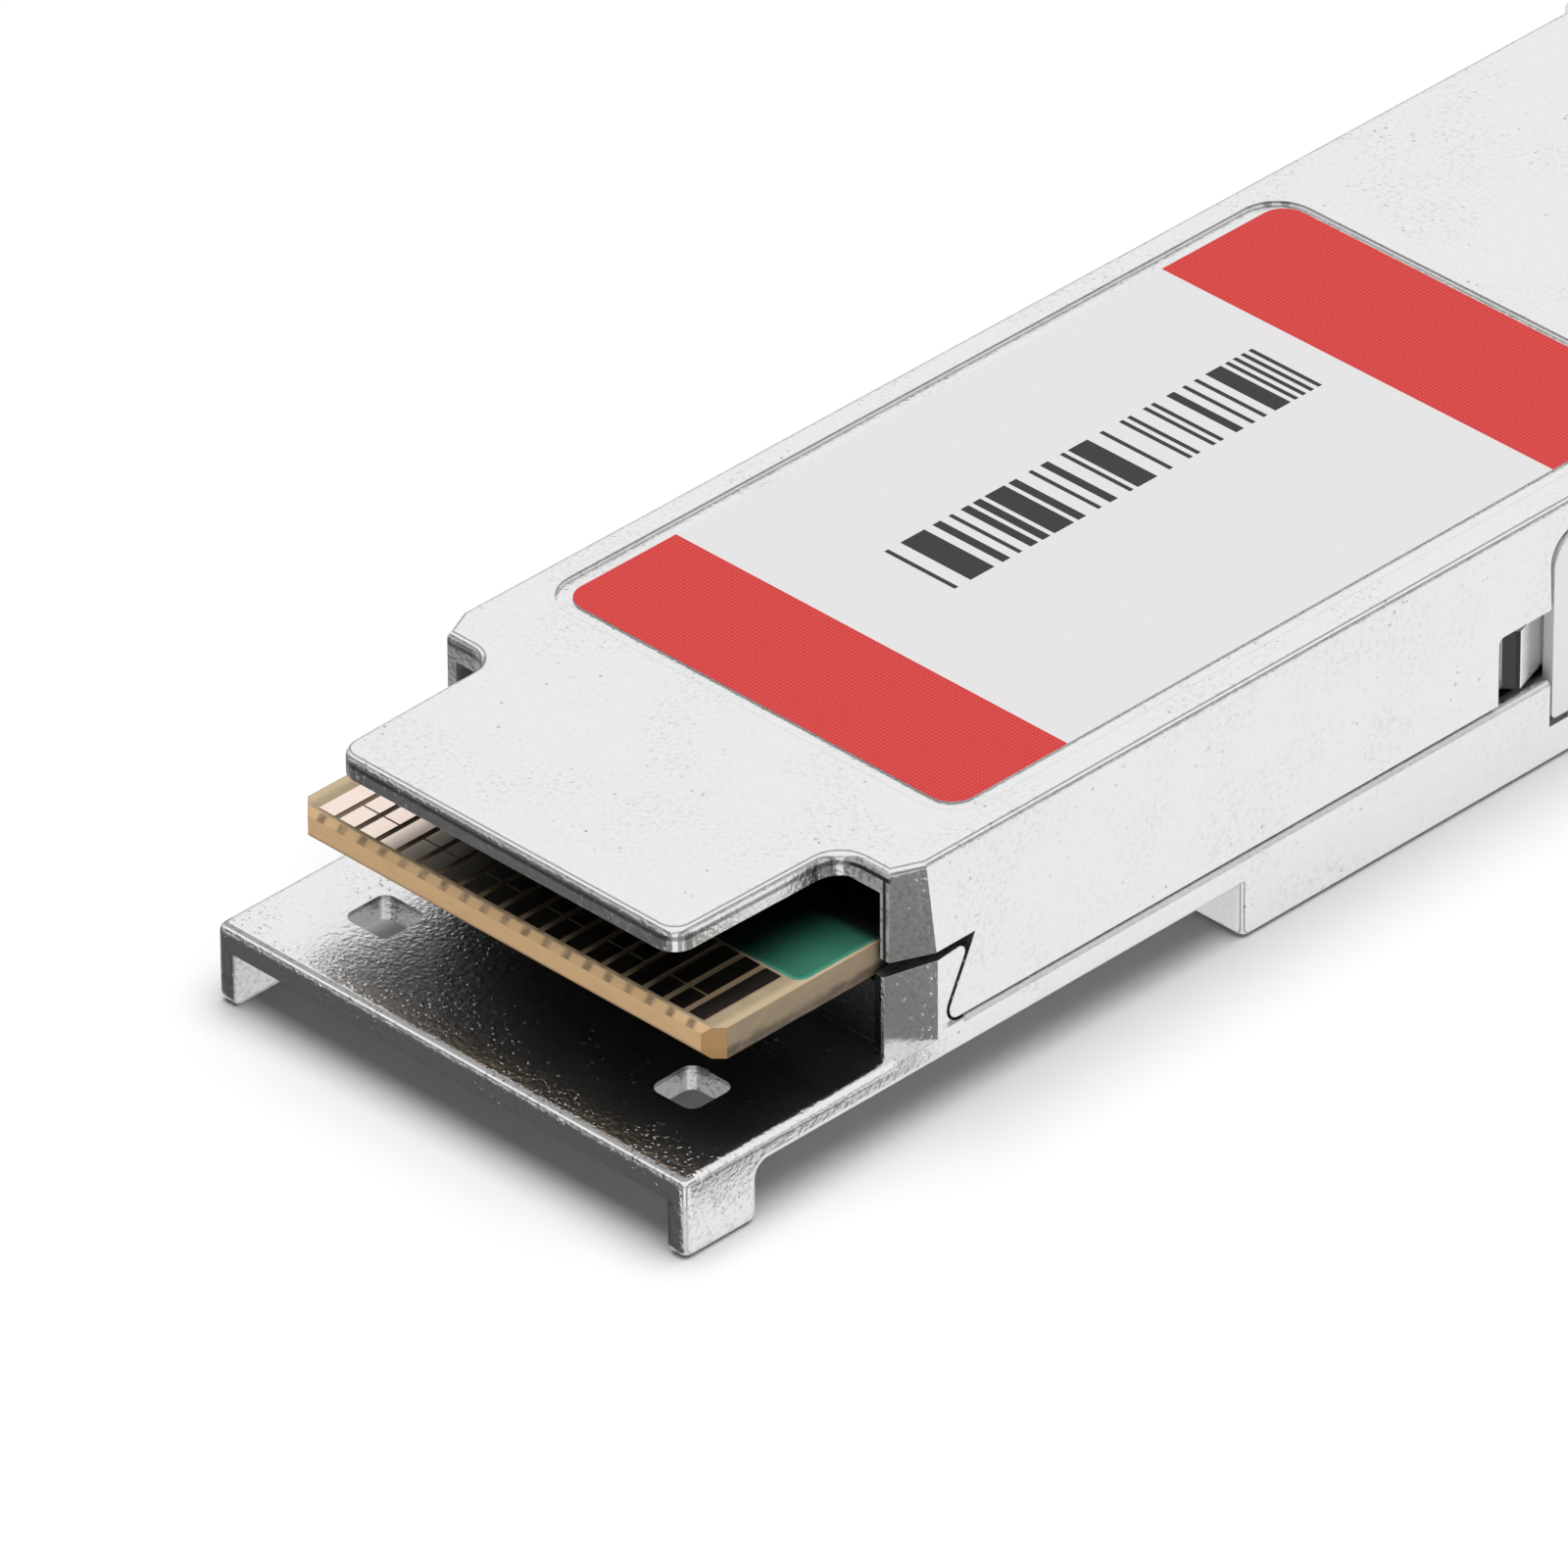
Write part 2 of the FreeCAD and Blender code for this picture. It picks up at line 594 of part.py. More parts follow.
def make_bottom_shell():
    """The die-cast tray: plate, legs, skirt, hooked posts, board ledges, screw bosses."""
    body = new_body("bottom_shell")
    pad(body, "tray", "YZ_Plane", [[
        (0, s.floor_raise), (s.skirt_start, s.floor_raise), (s.skirt_start, 0, s.leg_round),
        (groove_start, 0), (groove_start, s.groove_depth), (s.body_length, s.groove_depth),
        (s.body_length, seam), (s.shoulder_start, seam), (s.shoulder_start, plate_top), (0, plate_top)]],
        -half, s.body_width)
    leg = [(0, 0, s.leg_round), (s.leg_length, 0, s.leg_round),
           (s.leg_length, s.floor_raise, s.leg_fillet), (2 * s.leg_length, s.floor_raise),
           (2 * s.leg_length, plate_top), (0, plate_top)]
    for word, side in SIDES:
        pad(body, f"leg_{word}", "YZ_Plane", [leg], side_span(side, half - s.leg_width, half), s.leg_width)
    rims = edges_in(body, x=half) + edges_in(body, x=-half) + edges_in(body, y=0, z=plate_top)
    round_edges(body, "rim_round", rims, s.edge_round)

    neck = s.shoulder_start + s.neck_reach
    foot = plate_top - s.edge_round
    front = s.shoulder_start - s.post_lead
    post = [(front, foot), (front, post_top - s.post_slope),
            (s.shoulder_start + s.hook_reach, post_top, s.hook_round), (neck, seam, s.neck_round),
            (neck + 2 * s.neck_round, seam), (neck + 2 * s.neck_round, foot)]
    for word, side in SIDES:
        pad(body, f"post_{word}", "YZ_Plane", [post], side_span(side, mouth_half, half), s.mouth_wall)
        pocket(body, f"lead_in_{word}", "XY_Plane", [lead_in(side, front)], plate_top, 2 * s.post_height)
    sill_end = s.shoulder_start + s.sill_thick
    pad(body, "sill", "XY_Plane", [rectangle(-mouth_half, mouth_half, s.shoulder_start, sill_end)],
        plate_top, s.sill_height)

    pocket(body, "cavity", "XY_Plane",
           [rectangle(-cavity_half, cavity_half, s.skirt_start + s.floor_thick, cavity_end)],
           s.floor_thick, seam)
    pocket(body, "head_cavity", "XY_Plane",
           [rectangle(-head_room, head_room, cavity_end - s.floor_thick, s.body_length + s.cut_margin)],
           head_floor, seam)
    for word, side in SIDES:
        ledge = side_span(side, cavity_half, ledge_outer)
        pad(body, f"ledge_{word}", "XY_Plane",
            [rectangle(ledge, ledge + s.ledge_width, mouth_end, board_end)], seam, s.board_level - seam)
    pad(body, "bosses", "XY_Plane", boss_circles(s.tray_boss_size / 2), 0, seam)

    recess = [(recess_start, recess_low), (groove_start, recess_low),
              (groove_start, s.groove_depth - s.cut_margin),
              (s.body_length + s.cut_margin, s.groove_depth - s.cut_margin),
              (s.body_length + s.cut_margin, seam + s.cut_margin), (recess_start, seam + s.cut_margin)]
    spring_bed = rectangle(lug_start - s.spring_room, spring_end,
                           s.spring_level - spring_half - s.spring_room,
                           s.spring_level + spring_half + s.spring_room)
    bed_depth = s.spring_size + 2 * s.spring_room
    for word, side in SIDES:
        pocket(body, f"slide_recess_{word}", "YZ_Plane", [recess],
               side_span(side, recess_half, half + s.cut_margin), half + s.cut_margin - recess_half)
        pocket(body, f"spring_bed_{word}", "YZ_Plane", [spring_bed],
               side_span(side, recess_half - bed_depth, recess_half), bed_depth)

    hole_low = s.hole_setback - s.hole_size / 2
    for word, side in SIDES:
        left = side * (half - s.hole_inset) - s.hole_size / 2
        pocket(body, f"hole_{word}", "XY_Plane",
               [rectangle(left, left + s.hole_size, hole_low, hole_low + s.hole_size, s.hole_round)],
               s.floor_raise - s.cut_margin, s.plate_thick + 2 * s.cut_margin)
    pocket(body, "screw_holes", "XY_Plane", boss_circles(s.screw_size / 2 + s.screw_room),
           -s.cut_margin, seam + 2 * s.cut_margin)
    pocket(body, "head_sinks", "XY_Plane", boss_circles(s.screw_head_size / 2 + s.screw_room),
           -s.cut_margin, s.cut_margin + screw_seat)


def make_top_shell():
    """The die-cast lid: drafted walls, nose plate, hook cut-outs, label recess, latch pockets, head."""
    body = new_body("top_shell")
    top = s.body_height
    lean_half = half - s.wall_draft
    pad(body, "lid", "XZ_Plane", [[
        (-half, wall_foot), (-inner_half, wall_foot), (-inner_half, lid_under), (inner_half, lid_under),
        (inner_half, wall_foot), (half, wall_foot), (half, s.crease_level), (lean_half, top),
        (-lean_half, top), (-half, s.crease_level)]], s.shoulder_start, head_start - s.shoulder_start)
    tip, root = half - s.nose_tip_inset, half - s.nose_root_inset
    pad(body, "nose", "XY_Plane", [[
        (-tip, s.nose_start, s.nose_round), (tip, s.nose_start, s.nose_round),
        (root, s.shoulder_start, s.notch_round), (inner_half, s.shoulder_start), (inner_half, mouth_end),
        (-inner_half, mouth_end), (-inner_half, s.shoulder_start),
        (-root, s.shoulder_start, s.notch_round)]], top - s.nose_thick, s.nose_thick)
    pocket(body, "mouth", "XY_Plane",
           [rectangle(-mouth_half, mouth_half, s.shoulder_start - s.cut_margin, mouth_end)],
           seam, lid_under - seam)
    for word, side in SIDES:
        pocket(body, f"lead_in_{word}", "XY_Plane", [lead_in(side, s.shoulder_start)], seam,
               top + s.cut_margin - seam)
    rear_edge = edges_in(body, y=head_start)
    top_edges = [name for name in edges_in(body, z=top) if name not in rear_edge]
    round_edges(body, "top_round", top_edges, s.edge_round)

    hook_level = post_top + s.hook_gap
    slope = (s.hook_reach - s.neck_reach) / s.post_height
    hook_tip = s.shoulder_start + s.hook_reach + s.hook_slot + slope * s.hook_gap
    toe = s.shoulder_start + s.neck_reach + s.hook_slot + slope * s.seam_gap
    ahead = s.shoulder_start - s.cut_margin
    toe_round = s.neck_round - s.hook_slot
    hook = [(ahead, seam), (ahead, hook_level), (hook_tip, hook_level), (toe, wall_foot, toe_round),
            (toe + 2 * s.neck_round, wall_foot), (toe + 2 * s.neck_round, seam)]
    latch = rectangle(s.pocket_start, pocket_end, seam, pocket_top, s.pocket_round)
    recess = [(recess_start, seam), (s.body_length + s.cut_margin, seam),
              (s.body_length + s.cut_margin, recess_high), (recess_start, recess_high, s.arm_round)]
    make_head(body)
    outside = head_half + s.cut_margin
    for word, side in SIDES:
        pocket(body, f"hook_cut_{word}", "YZ_Plane", [hook],
               side_span(side, inner_half, outside), outside - inner_half)
        pocket(body, f"slide_recess_{word}", "YZ_Plane", [recess],
               side_span(side, recess_half, outside), outside - recess_half)
        pocket(body, f"latch_pocket_{word}", "YZ_Plane", [latch],
               side_span(side, half - s.pocket_depth, outside), outside - half + s.pocket_depth)
    border_half = label_half + s.label_margin
    pocket(body, "label_bed", "XY_Plane", [rectangle(
        -border_half, border_half, s.label_start - s.label_margin, label_end + s.label_margin_back,
        s.label_round + s.label_margin)], top - s.label_recess, s.label_recess + s.cut_margin)
    pad(body, "bosses", "XY_Plane", boss_circles(s.lid_boss_size / 2), seam,
        top - s.lid_thick / 2 - seam)
    pocket(body, "screw_holes", "XY_Plane", boss_circles(s.screw_size / 2 + s.screw_gap),
           seam - s.cut_margin, s.cut_margin + screw_seat + s.screw_length + s.screw_room - seam)


def make_head(body):
    """The taller head of the lid, with the room for the port block."""
    pad(body, "head", "XZ_Plane", [[
        (-head_half, wall_foot), (head_half, wall_foot), (head_half, head_top, s.head_round),
        (-head_half, head_top, s.head_round)]], head_start, s.body_length - head_start)
    rims = edges_in(body, y=head_start, z=head_top) + edges_in(body, y=s.body_length, z=head_top)
    bevel_edges(body, "head_rim_bevel", rims, s.edge_round)
    pocket(body, "port_room", "XZ_Plane",
           [rectangle(-head_room, head_room, seam, port_top + s.fit_gap)],
           port_block_start, s.port_depth + s.port_back + s.cut_margin)
    pocket(body, "optics_room", "XZ_Plane", [rectangle(-head_room, head_room, seam, lid_under)],
           head_start - s.cut_margin, port_block_start - head_start + 2 * s.cut_margin)


def make_label():
    """The thin label in its recess."""
    body = new_body("label")
    pad(body, "sheet", "XY_Plane", [rectangle(
        -label_half, label_half, s.label_start, label_end, s.label_round)],
        s.body_height - s.label_recess, s.label_thick)


def make_main_board():
    """The circuit board with its card edge."""
    body = new_body("main_board")
    rear = inner_half - s.board_gap
    card = mouth_half - s.card_gap
    corner = card - s.card_chamfer
    chamfer_end = s.card_start + s.card_chamfer
    card_end = mouth_end - s.card_stop
    pad(body, "board", "XY_Plane", [[
        (-corner, s.card_start), (corner, s.card_start), (card, chamfer_end), (card, card_end),
        (rear, card_end), (rear, board_end), (-rear, board_end), (-rear, card_end),
        (-card, card_end), (-card, chamfer_end)]], s.board_level, s.board_thick)
    fronts = edges_in(body, y=s.card_start, z=board_top) + edges_in(body, y=s.card_start, z=s.board_level)
    bevel_edges(body, "front_bevel", fronts, s.card_bevel)


def block(name, left, width, front, length, low, thick):
    """A plain block that is one piece of a group."""
    box = doc.addObject("Part::Box", name)
    for prop, size in (("Length", width), ("Width", length), ("Height", thick),
                       ("Placement.Base.x", left), ("Placement.Base.y", front), ("Placement.Base.z", low)):
        bind(box, prop, size)
    return box


def group(name, pieces):
    """A sub-part made of several separate solids."""
    compound = named_part("Part::Compound", name)
    compound.Links = pieces
    set_in_place(compound)


def make_contacts(face, level):
    """The contact strips on one face of the card, some with a separate lead pad."""
    front = s.card_start + s.contact_setback
    strips = []
    for i in range(whole(s.contact_count)):
        left = (i - (s.contact_count - 1) / 2) * s.contact_pitch - s.contact_width / 2
        name = f"contact_{face}_{i}"
        if i not in SPLIT_CONTACTS:
            strips.append(block(name, left, s.contact_width, front, s.contact_length, level,
                                s.contact_thick))
            continue
        rear = s.contact_lead + s.contact_split
        strips.append(block(f"{name}_lead", left, s.contact_width, front, s.contact_lead, level,
                            s.contact_thick))
        strips.append(block(name, left, s.contact_width, front + rear, s.contact_length - rear, level,
                            s.contact_thick))
    group(f"edge_contacts_{face}", strips)


def make_chip(name, size, thick, across, along):
    """A chip package that sits on the board."""
    body = new_body(name)
    low = along - size / 2
    pad(body, f"{name}_package", "XY_Plane",
        [rectangle(across - size / 2, across + size / 2, low, low + size)], board_top, thick)


def make_board_parts():
    """The chips, inductors, capacitors and the gap filler on the board."""
    make_chip("signal_processor", s.processor_size, s.processor_thick, 0, s.processor_place)
    make_chip("microcontroller", s.controller_size, s.controller_thick, -s.controller_side,
              board_end - s.controller_back)
    driver_place = board_end - s.driver_back
    make_chip("laser_driver", s.driver_size, s.driver_thick, s.port_pitch / 2, driver_place)
    make_chip("receiver_amplifier", s.driver_size, s.driver_thick, -s.port_pitch / 2, driver_place)
    body = new_body("thermal_pad")
    pad_half = s.processor_size / 2
    filler = rectangle(-pad_half, pad_half, s.processor_place - pad_half, s.processor_place + pad_half)
    pad(body, "filler", "XY_Plane", [filler], board_top + s.processor_thick,
        lid_under - board_top - s.processor_thick)
    inductors = []
    for i in range(whole(s.inductor_count)):
        front = board_end - s.inductor_back + i * s.inductor_pitch - s.inductor_size / 2
        inductors.append(block(f"inductor_{i}", s.inductor_side, s.inductor_size, front, s.inductor_size,
                               board_top, s.inductor_thick))
    group("power_inductors", inductors)
    capacitors = []
    for word, side in SIDES:
        middle = side * (pad_half + s.capacitor_gap + s.capacitor_length / 2)
        for i in range(whole(s.capacitor_count)):
            place = s.processor_place + (i - (s.capacitor_count - 1) / 2) * s.capacitor_pitch
            front = place - s.capacitor_width / 2
            capacitors.append(block(f"capacitor_{word}_{i}", middle - s.capacitor_length / 2,
                                    s.capacitor_length, front, s.capacitor_width, board_top,
                                    s.capacitor_width))
    group("capacitors", capacitors)


def make_port_receptacle():
    """The moulded block with two ports, each with the slot and the catch for a plug's latch."""
    body = new_body("port_receptacle")
    pad(body, "port_block", "XZ_Plane", [rectangle(-port_half, port_half, head_floor, port_top)],
        port_block_start, s.body_length - port_block_start)
    middles = [side * s.port_pitch / 2 for _, side in SIDES]
    opening_top = port_bottom + s.port_opening
    keyway_top = opening_top + s.keyway_height
    wide, narrow = s.port_opening / 2, s.keyway_width / 2
    for i, middle in enumerate(middles):
        pocket(body, f"port_{i}", "XZ_Plane", [[
            (middle - wide, port_bottom), (middle + wide, port_bottom), (middle + wide, opening_top),
            (middle + narrow, opening_top), (middle + narrow, keyway_top), (middle - narrow, keyway_top),
            (middle - narrow, opening_top), (middle - wide, opening_top)]],
            port_end, s.port_depth + s.cut_margin)
        pocket(body, f"catch_{i}", "XZ_Plane",
               [rectangle(middle - wide, middle + wide, opening_top - s.fit_gap, keyway_top)],
               port_end, s.port_depth - s.catch_setback)
    bores = [Circle(middle, axis_level, s.nozzle_size / 2 + s.fit_gap) for middle in middles]
    pocket(body, "nozzle_bores", "XZ_Plane", bores, port_block_start - s.cut_margin,
           s.port_back + 2 * s.cut_margin)


def turned(body, name, across, profile):
    """Turns a profile of (radius, place along Y) about the optical axis of one port."""
    sketch = sketch_on(body, f"{name}_profile", "XY_Plane", axis_level, across)
    draw_outline(sketch, profile)
    feature = body.newObject("PartDesign::Revolution", name)
    feature.Profile = sketch
    feature.ReferenceAxis = (sketch, ["V_Axis"])
    feature.Angle = 360
    return checked(feature, True, 0)


def make_optics(word, side):
    """One laser and receiver assembly, its alignment sleeve, its fibre stub and its flexible circuit."""
    across = side * s.port_pitch / 2
    body = new_body(f"optical_assembly_{word}")
    nozzle, bore = s.nozzle_size / 2, s.nozzle_bore / 2
    turned(body, "turned_parts", across, [
        (0, rim_start), (s.rim_size / 2, rim_start), (s.rim_size / 2, can_start),
        (s.can_size / 2, can_start), (s.can_size / 2, neck_start), (s.neck_size / 2, neck_start),
        (s.neck_size / 2, flange_start), (s.flange_size / 2, flange_start),
        (s.flange_size / 2, port_block_start), (nozzle, port_block_start), (nozzle, nozzle_tip),
        (bore, nozzle_tip), (bore, bore_end), (0, bore_end)])
    low = axis_level - s.optic_height / 2
    pad(body, "housing", "XZ_Plane", [rectangle(
        across - s.optic_width / 2, across + s.optic_width / 2, low, low + s.optic_height, s.optic_round)],
        optic_start, s.optic_length)

    sleeve_start = bore_end + s.sleeve_setback
    body = new_body(f"alignment_sleeve_{word}")
    turned(body, "tube", across, rectangle(
        s.sleeve_bore / 2, s.sleeve_size / 2, sleeve_start, sleeve_start + s.sleeve_length))
    pocket(body, "slit", "XZ_Plane", [rectangle(
        across - s.sleeve_slit / 2, across + s.sleeve_slit / 2, axis_level, axis_level + s.sleeve_size)],
        sleeve_start - s.cut_margin, s.sleeve_length + 2 * s.cut_margin)

    body = new_body(f"fibre_stub_{word}")
    turned(body, "ferrule", across, rectangle(0, s.stub_size / 2, bore_end, bore_end + s.stub_length))

    body = new_body(f"flex_circuit_{word}")
    foot = axis_level - s.flex_drop
    upper = board_top + s.flex_thick
    inner = rim_start - s.flex_thick
    lap_start = board_end - s.flex_lap
    pad(body, "strip", "YZ_Plane", [[
        (lap_start, board_top), (inner, board_top, s.flex_bend), (inner, foot), (rim_start, foot),
        (rim_start, upper, s.flex_bend + s.flex_thick), (lap_start, upper)]],
        across - s.flex_width / 2, s.flex_width)


def make_optics_clamp():
    """The plate that drops over the necks of both optical assemblies."""
    body = new_body("optics_clamp")
    wide = head_room - s.clamp_gap
    slot = s.neck_size / 2 + s.fit_gap
    inner, outer = s.port_pitch / 2 - slot, s.port_pitch / 2 + slot
    crown = axis_level + slot
    bow = slot - 2 * s.fit_gap
    pad(body, "plate", "XZ_Plane", [[
        (-wide, head_floor), (-outer, head_floor), (-outer, crown, bow), (-inner, crown, bow),
        (-inner, head_floor), (inner, head_floor), (inner, crown, bow), (outer, crown, bow),
        (outer, head_floor), (wide, head_floor), (wide, lid_under - s.fit_gap),
        (-wide, lid_under - s.fit_gap)]], neck_start + s.fit_gap, s.neck_length - 2 * s.fit_gap)


def make_release_slide():
    """The folded slide: a bridge below, two side arms, latch tips and spring lugs."""
    body = new_body("release_slide")
    floor = s.bridge_level + s.sheet_thick
    bend = s.bend_round + s.sheet_thick
    bridge_start = head_start + s.bridge_lead
    bridge_end = s.body_length - s.bridge_inset
    pad(body, "bridge", "XZ_Plane", [[
        (-arm_outer, arm_high), (-arm_outer, s.bridge_level, bend), (arm_outer, s.bridge_level, bend),
        (arm_outer, arm_high), (arm_inner, arm_high), (arm_inner, floor, s.bend_round),
        (-arm_inner, floor, s.bend_round), (-arm_inner, arm_high)]], bridge_start, bridge_end - bridge_start)
    arm = [(arm_start, s.arm_low, s.tip_round), (s.body_length, s.arm_low),
           (s.body_length, s.arm_end_low), (arm_end, s.arm_end_low, s.tip_round),
           (arm_end, s.arm_end_high, s.tip_round), (s.body_length, s.arm_end_high),
           (s.body_length, arm_high, s.tip_round), (arm_start, arm_high, s.arm_round)]
    lug_low = s.spring_level - spring_half
    tip_inner = arm_inner - s.tip_inset
    tip_outer = arm_outer - s.tip_inset
    tip_front = arm_start - s.tip_reach
    root = arm_start + s.tip_blend
    for word, side in SIDES:
        pad(body, f"arm_{word}", "YZ_Plane", [arm], side_span(side, arm_inner, arm_outer), s.sheet_thick)
        pad(body, f"lug_{word}", "XZ_Plane", [rectangle(
            *sorted((side * (spring_across - spring_half), side * arm_inner), key=float),
            lug_low, lug_low + s.spring_size)], lug_start, s.sheet_thick)
        tip = [(arm_inner, root), (tip_inner, arm_start, s.tip_round), (tip_inner, tip_front),
               (tip_outer, tip_front, s.tip_round),
               (tip_outer + s.tip_bulge, tip_front + 2 * s.tip_round, s.tip_round),
               (tip_outer, arm_start, s.tip_round), (arm_outer, root)]
        pad(body, f"tip_{word}", "XY_Plane", [[(side * corner[0], *corner[1:]) for corner in tip]],
            seam + s.tip_clear, s.pocket_height - 2 * s.tip_clear)


def make_pull_tab():
    """The moulded tab on the far ends of the slide's arms, with grip ribs."""
    body = new_body("pull_tab")
    wide, slim = arm_outer + s.cheek_wall, s.tab_width / 2
    cheek_end = tab_start + s.cheek_length
    slim_start = cheek_end + s.tab_neck
    pad(body, "tongue", "XY_Plane", [[
        (-wide, tab_start), (wide, tab_start), (wide, cheek_end, s.tab_round),
        (slim, slim_start, s.tab_round), (slim, tab_end, s.tab_round), (-slim, tab_end, s.tab_round),
        (-slim, slim_start, s.tab_round), (-wide, cheek_end, s.tab_round)]], s.tab_level, s.tab_thick)
    cheek_top = s.arm_end_high + s.cheek_cover
    for word, side in SIDES:
        pad(body, f"cheek_{word}", "YZ_Plane", [[
            (tab_start, s.tab_level), (cheek_end, s.tab_level), (cheek_end, cheek_top, s.cheek_round),
            (tab_start, cheek_top, s.cheek_round)]],
            side_span(side, arm_inner - s.cheek_wall, wide), s.sheet_thick + 2 * s.cheek_wall)
        pocket(body, f"arm_slot_{word}", "YZ_Plane", [[
            (tab_start - s.cut_margin, s.arm_end_low),
            (arm_end, s.arm_end_low, s.tip_round), (arm_end, s.arm_end_high, s.tip_round),
            (tab_start - s.cut_margin, s.arm_end_high)]],
            side_span(side, arm_inner, arm_outer), s.sheet_thick)
    rib = rectangle(-s.rib_length / 2, s.rib_length / 2, tab_end - s.rib_setback - s.rib_width,
                    tab_end - s.rib_setback)
    first_rib = pad(body, "rib", "XY_Plane", [rib], tab_top, s.rib_height)
    repeat(body, "ribs", first_rib, "Y_Axis", True, s.rib_pitch, s.rib_count)


def repeat(body, name, feature, axis, backwards, pitch, count):
    """Repeats a feature in a row along one axis of its body."""
    before = volume_of(body)
    row = body.newObject("PartDesign::LinearPattern", name)
    row.Originals = [feature]
    line = next(item for item in body.Origin.OriginFeatures if item.Role == axis)
    row.Direction = (line, [""])
    row.Reversed = backwards
    row.Mode = "Spacing"
    bind(row, "Offset", pitch)
    bind(row, "Occurrences", count)
    body.Tip = row
    return checked(row, True, before)


def make_return_spring(word, side):
    """One coil spring between a lug of the slide and the end of its bed."""
    body = new_body(f"return_spring_{word}")
    sketch = sketch_on(body, "wire", "XY_Plane", s.spring_level, side * spring_across)
    draw_outline(sketch, rectangle(spring_half - s.spring_wire, spring_half, spring_start,
                                   spring_start + s.spring_wire))
    coil = body.newObject("PartDesign::AdditiveHelix", "coil")
    coil.Profile = sketch
    coil.ReferenceAxis = (sketch, ["V_Axis"])
    coil.Mode = "pitch-height-angle"
    bind(coil, "Pitch", s.spring_pitch)
    bind(coil, "Height", s.spring_length - s.spring_wire)
    checked(coil, True, 0)


def make_case_screws():
    """The two screws that hold the tray to the lid, with a cross recess in each head."""
    screws = []
    for word, side in SIDES:
        across = side * boss_across
        head = doc.addObject("Part::Cylinder", f"screw_head_{word}")
        shank = doc.addObject("Part::Cylinder", f"screw_shank_{word}")
        for item, size, low, height in ((head, s.screw_head_size, s.screw_sink, s.screw_head_thick),
                                        (shank, s.screw_size, screw_seat, s.screw_length)):
            bind(item, "Radius", size / 2)
            bind(item, "Height", height)
            bind(item, "Placement.Base.x", across)
            bind(item, "Placement.Base.y", boss_along)
            bind(item, "Placement.Base.z", low)
        blank = doc.addObject("Part::Fuse", f"screw_blank_{word}")
        blank.Base, blank.Tool = head, shank
        long, wide = s.drive_length, s.drive_width
        bar = block(f"drive_bar_{word}", across - long / 2, long, boss_along - wide / 2, wide,
                    s.screw_sink, s.drive_depth)
        cross = block(f"drive_cross_{word}", across - wide / 2, wide, boss_along - long / 2, long,
                      s.screw_sink, s.drive_depth)
        drive = doc.addObject("Part::Fuse", f"drive_{word}")
        drive.Base, drive.Tool = bar, cross
        screw = doc.addObject("Part::Cut", f"screw_{word}")
        screw.Base, screw.Tool = blank, drive
        screws.append(screw)
    group("case_screws", screws)


def make_shield_collar():
    """The sheet-metal collar with spring fingers on all four sides."""
    body = new_body("shield_collar")
    thick = s.collar_thick
    start = groove_start + s.collar_gap
    length = s.groove_length - 2 * s.collar_gap
    low, high = s.groove_depth, s.body_height
    pad(body, "band", "XZ_Plane", [
        rectangle(-half - thick, half + thick, low - thick, high + thick, s.edge_round + thick),
        rectangle(-half, half, low, high, s.edge_round)], start, length)

    def finger(face, sign):
        """The outline of a finger that stands out from a face of the band, as (along, out)."""
        first, last = start + thick, start + length - thick
        middle = (first + last) / 2
        bow = [(first, 0), (middle, s.finger_rise, s.finger_ramp), (last, 0), (last - thick, 0),
               (middle, s.finger_rise - thick), (first + thick, 0)]
        return [(corner[0], face + sign * corner[1], *corner[2:]) for corner in bow]

    row = -(s.finger_columns - 1) / 2 * s.finger_pitch - s.finger_width / 2
    column = (low + high) / 2 - (s.finger_rows - 1) / 2 * s.finger_pitch - s.finger_width / 2
    for word, face, sign in (("top", high + thick, 1), ("bottom", low - thick, -1)):
        first = pad(body, f"finger_{word}", "YZ_Plane", [finger(face, sign)], row, s.finger_width)
        repeat(body, f"fingers_{word}", first, "X_Axis", False, s.finger_pitch, s.finger_columns)
    for word, side in SIDES:
        outline = [(corner[1], corner[0], *corner[2:]) for corner in finger(side * (half + thick), side)]
        first = pad(body, f"finger_{word}", "XY_Plane", [outline], column, s.finger_width)
        repeat(body, f"fingers_{word}", first, "Z_Axis", False, s.finger_pitch, s.finger_rows)


def check_and_write():
    """Checks every object of the document and writes one file for each sub-part."""
    doc.recompute()
    failed = [item.Name for item in doc.Objects if "Invalid" in item.State or "Error" in item.State]
    bad = [part.Label for part in parts if part.Shape.isNull() or not part.Shape.isValid()]
    if failed or bad:
        raise RuntimeError(f"failed objects: {failed}, bad shapes: {bad}")
    os.makedirs("parts", exist_ok=True)
    for part in parts:
        part.Shape.exportStep(f"parts/{part.Label}.step")


make_bottom_shell()
make_top_shell()
make_label()
make_main_board()
make_contacts("top", board_top)
make_contacts("bottom", s.board_level - s.contact_thick)
make_board_parts()
make_port_receptacle()
for word, side in SIDES:
    make_optics(word, side)
    make_return_spring(word, side)
make_optics_clamp()
make_release_slide()
make_pull_tab()
make_case_screws()
make_shield_collar()
check_and_write()
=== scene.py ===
"""Finishes a packed optical transceiver module: plated castings, printed label, card edge, springs, stage.

Lengths are in metres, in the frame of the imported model: X across, Y from the card edge to the pull tab,
Z up from the table.
"""
import json
import math

import bpy
from mathutils import Matrix, Vector

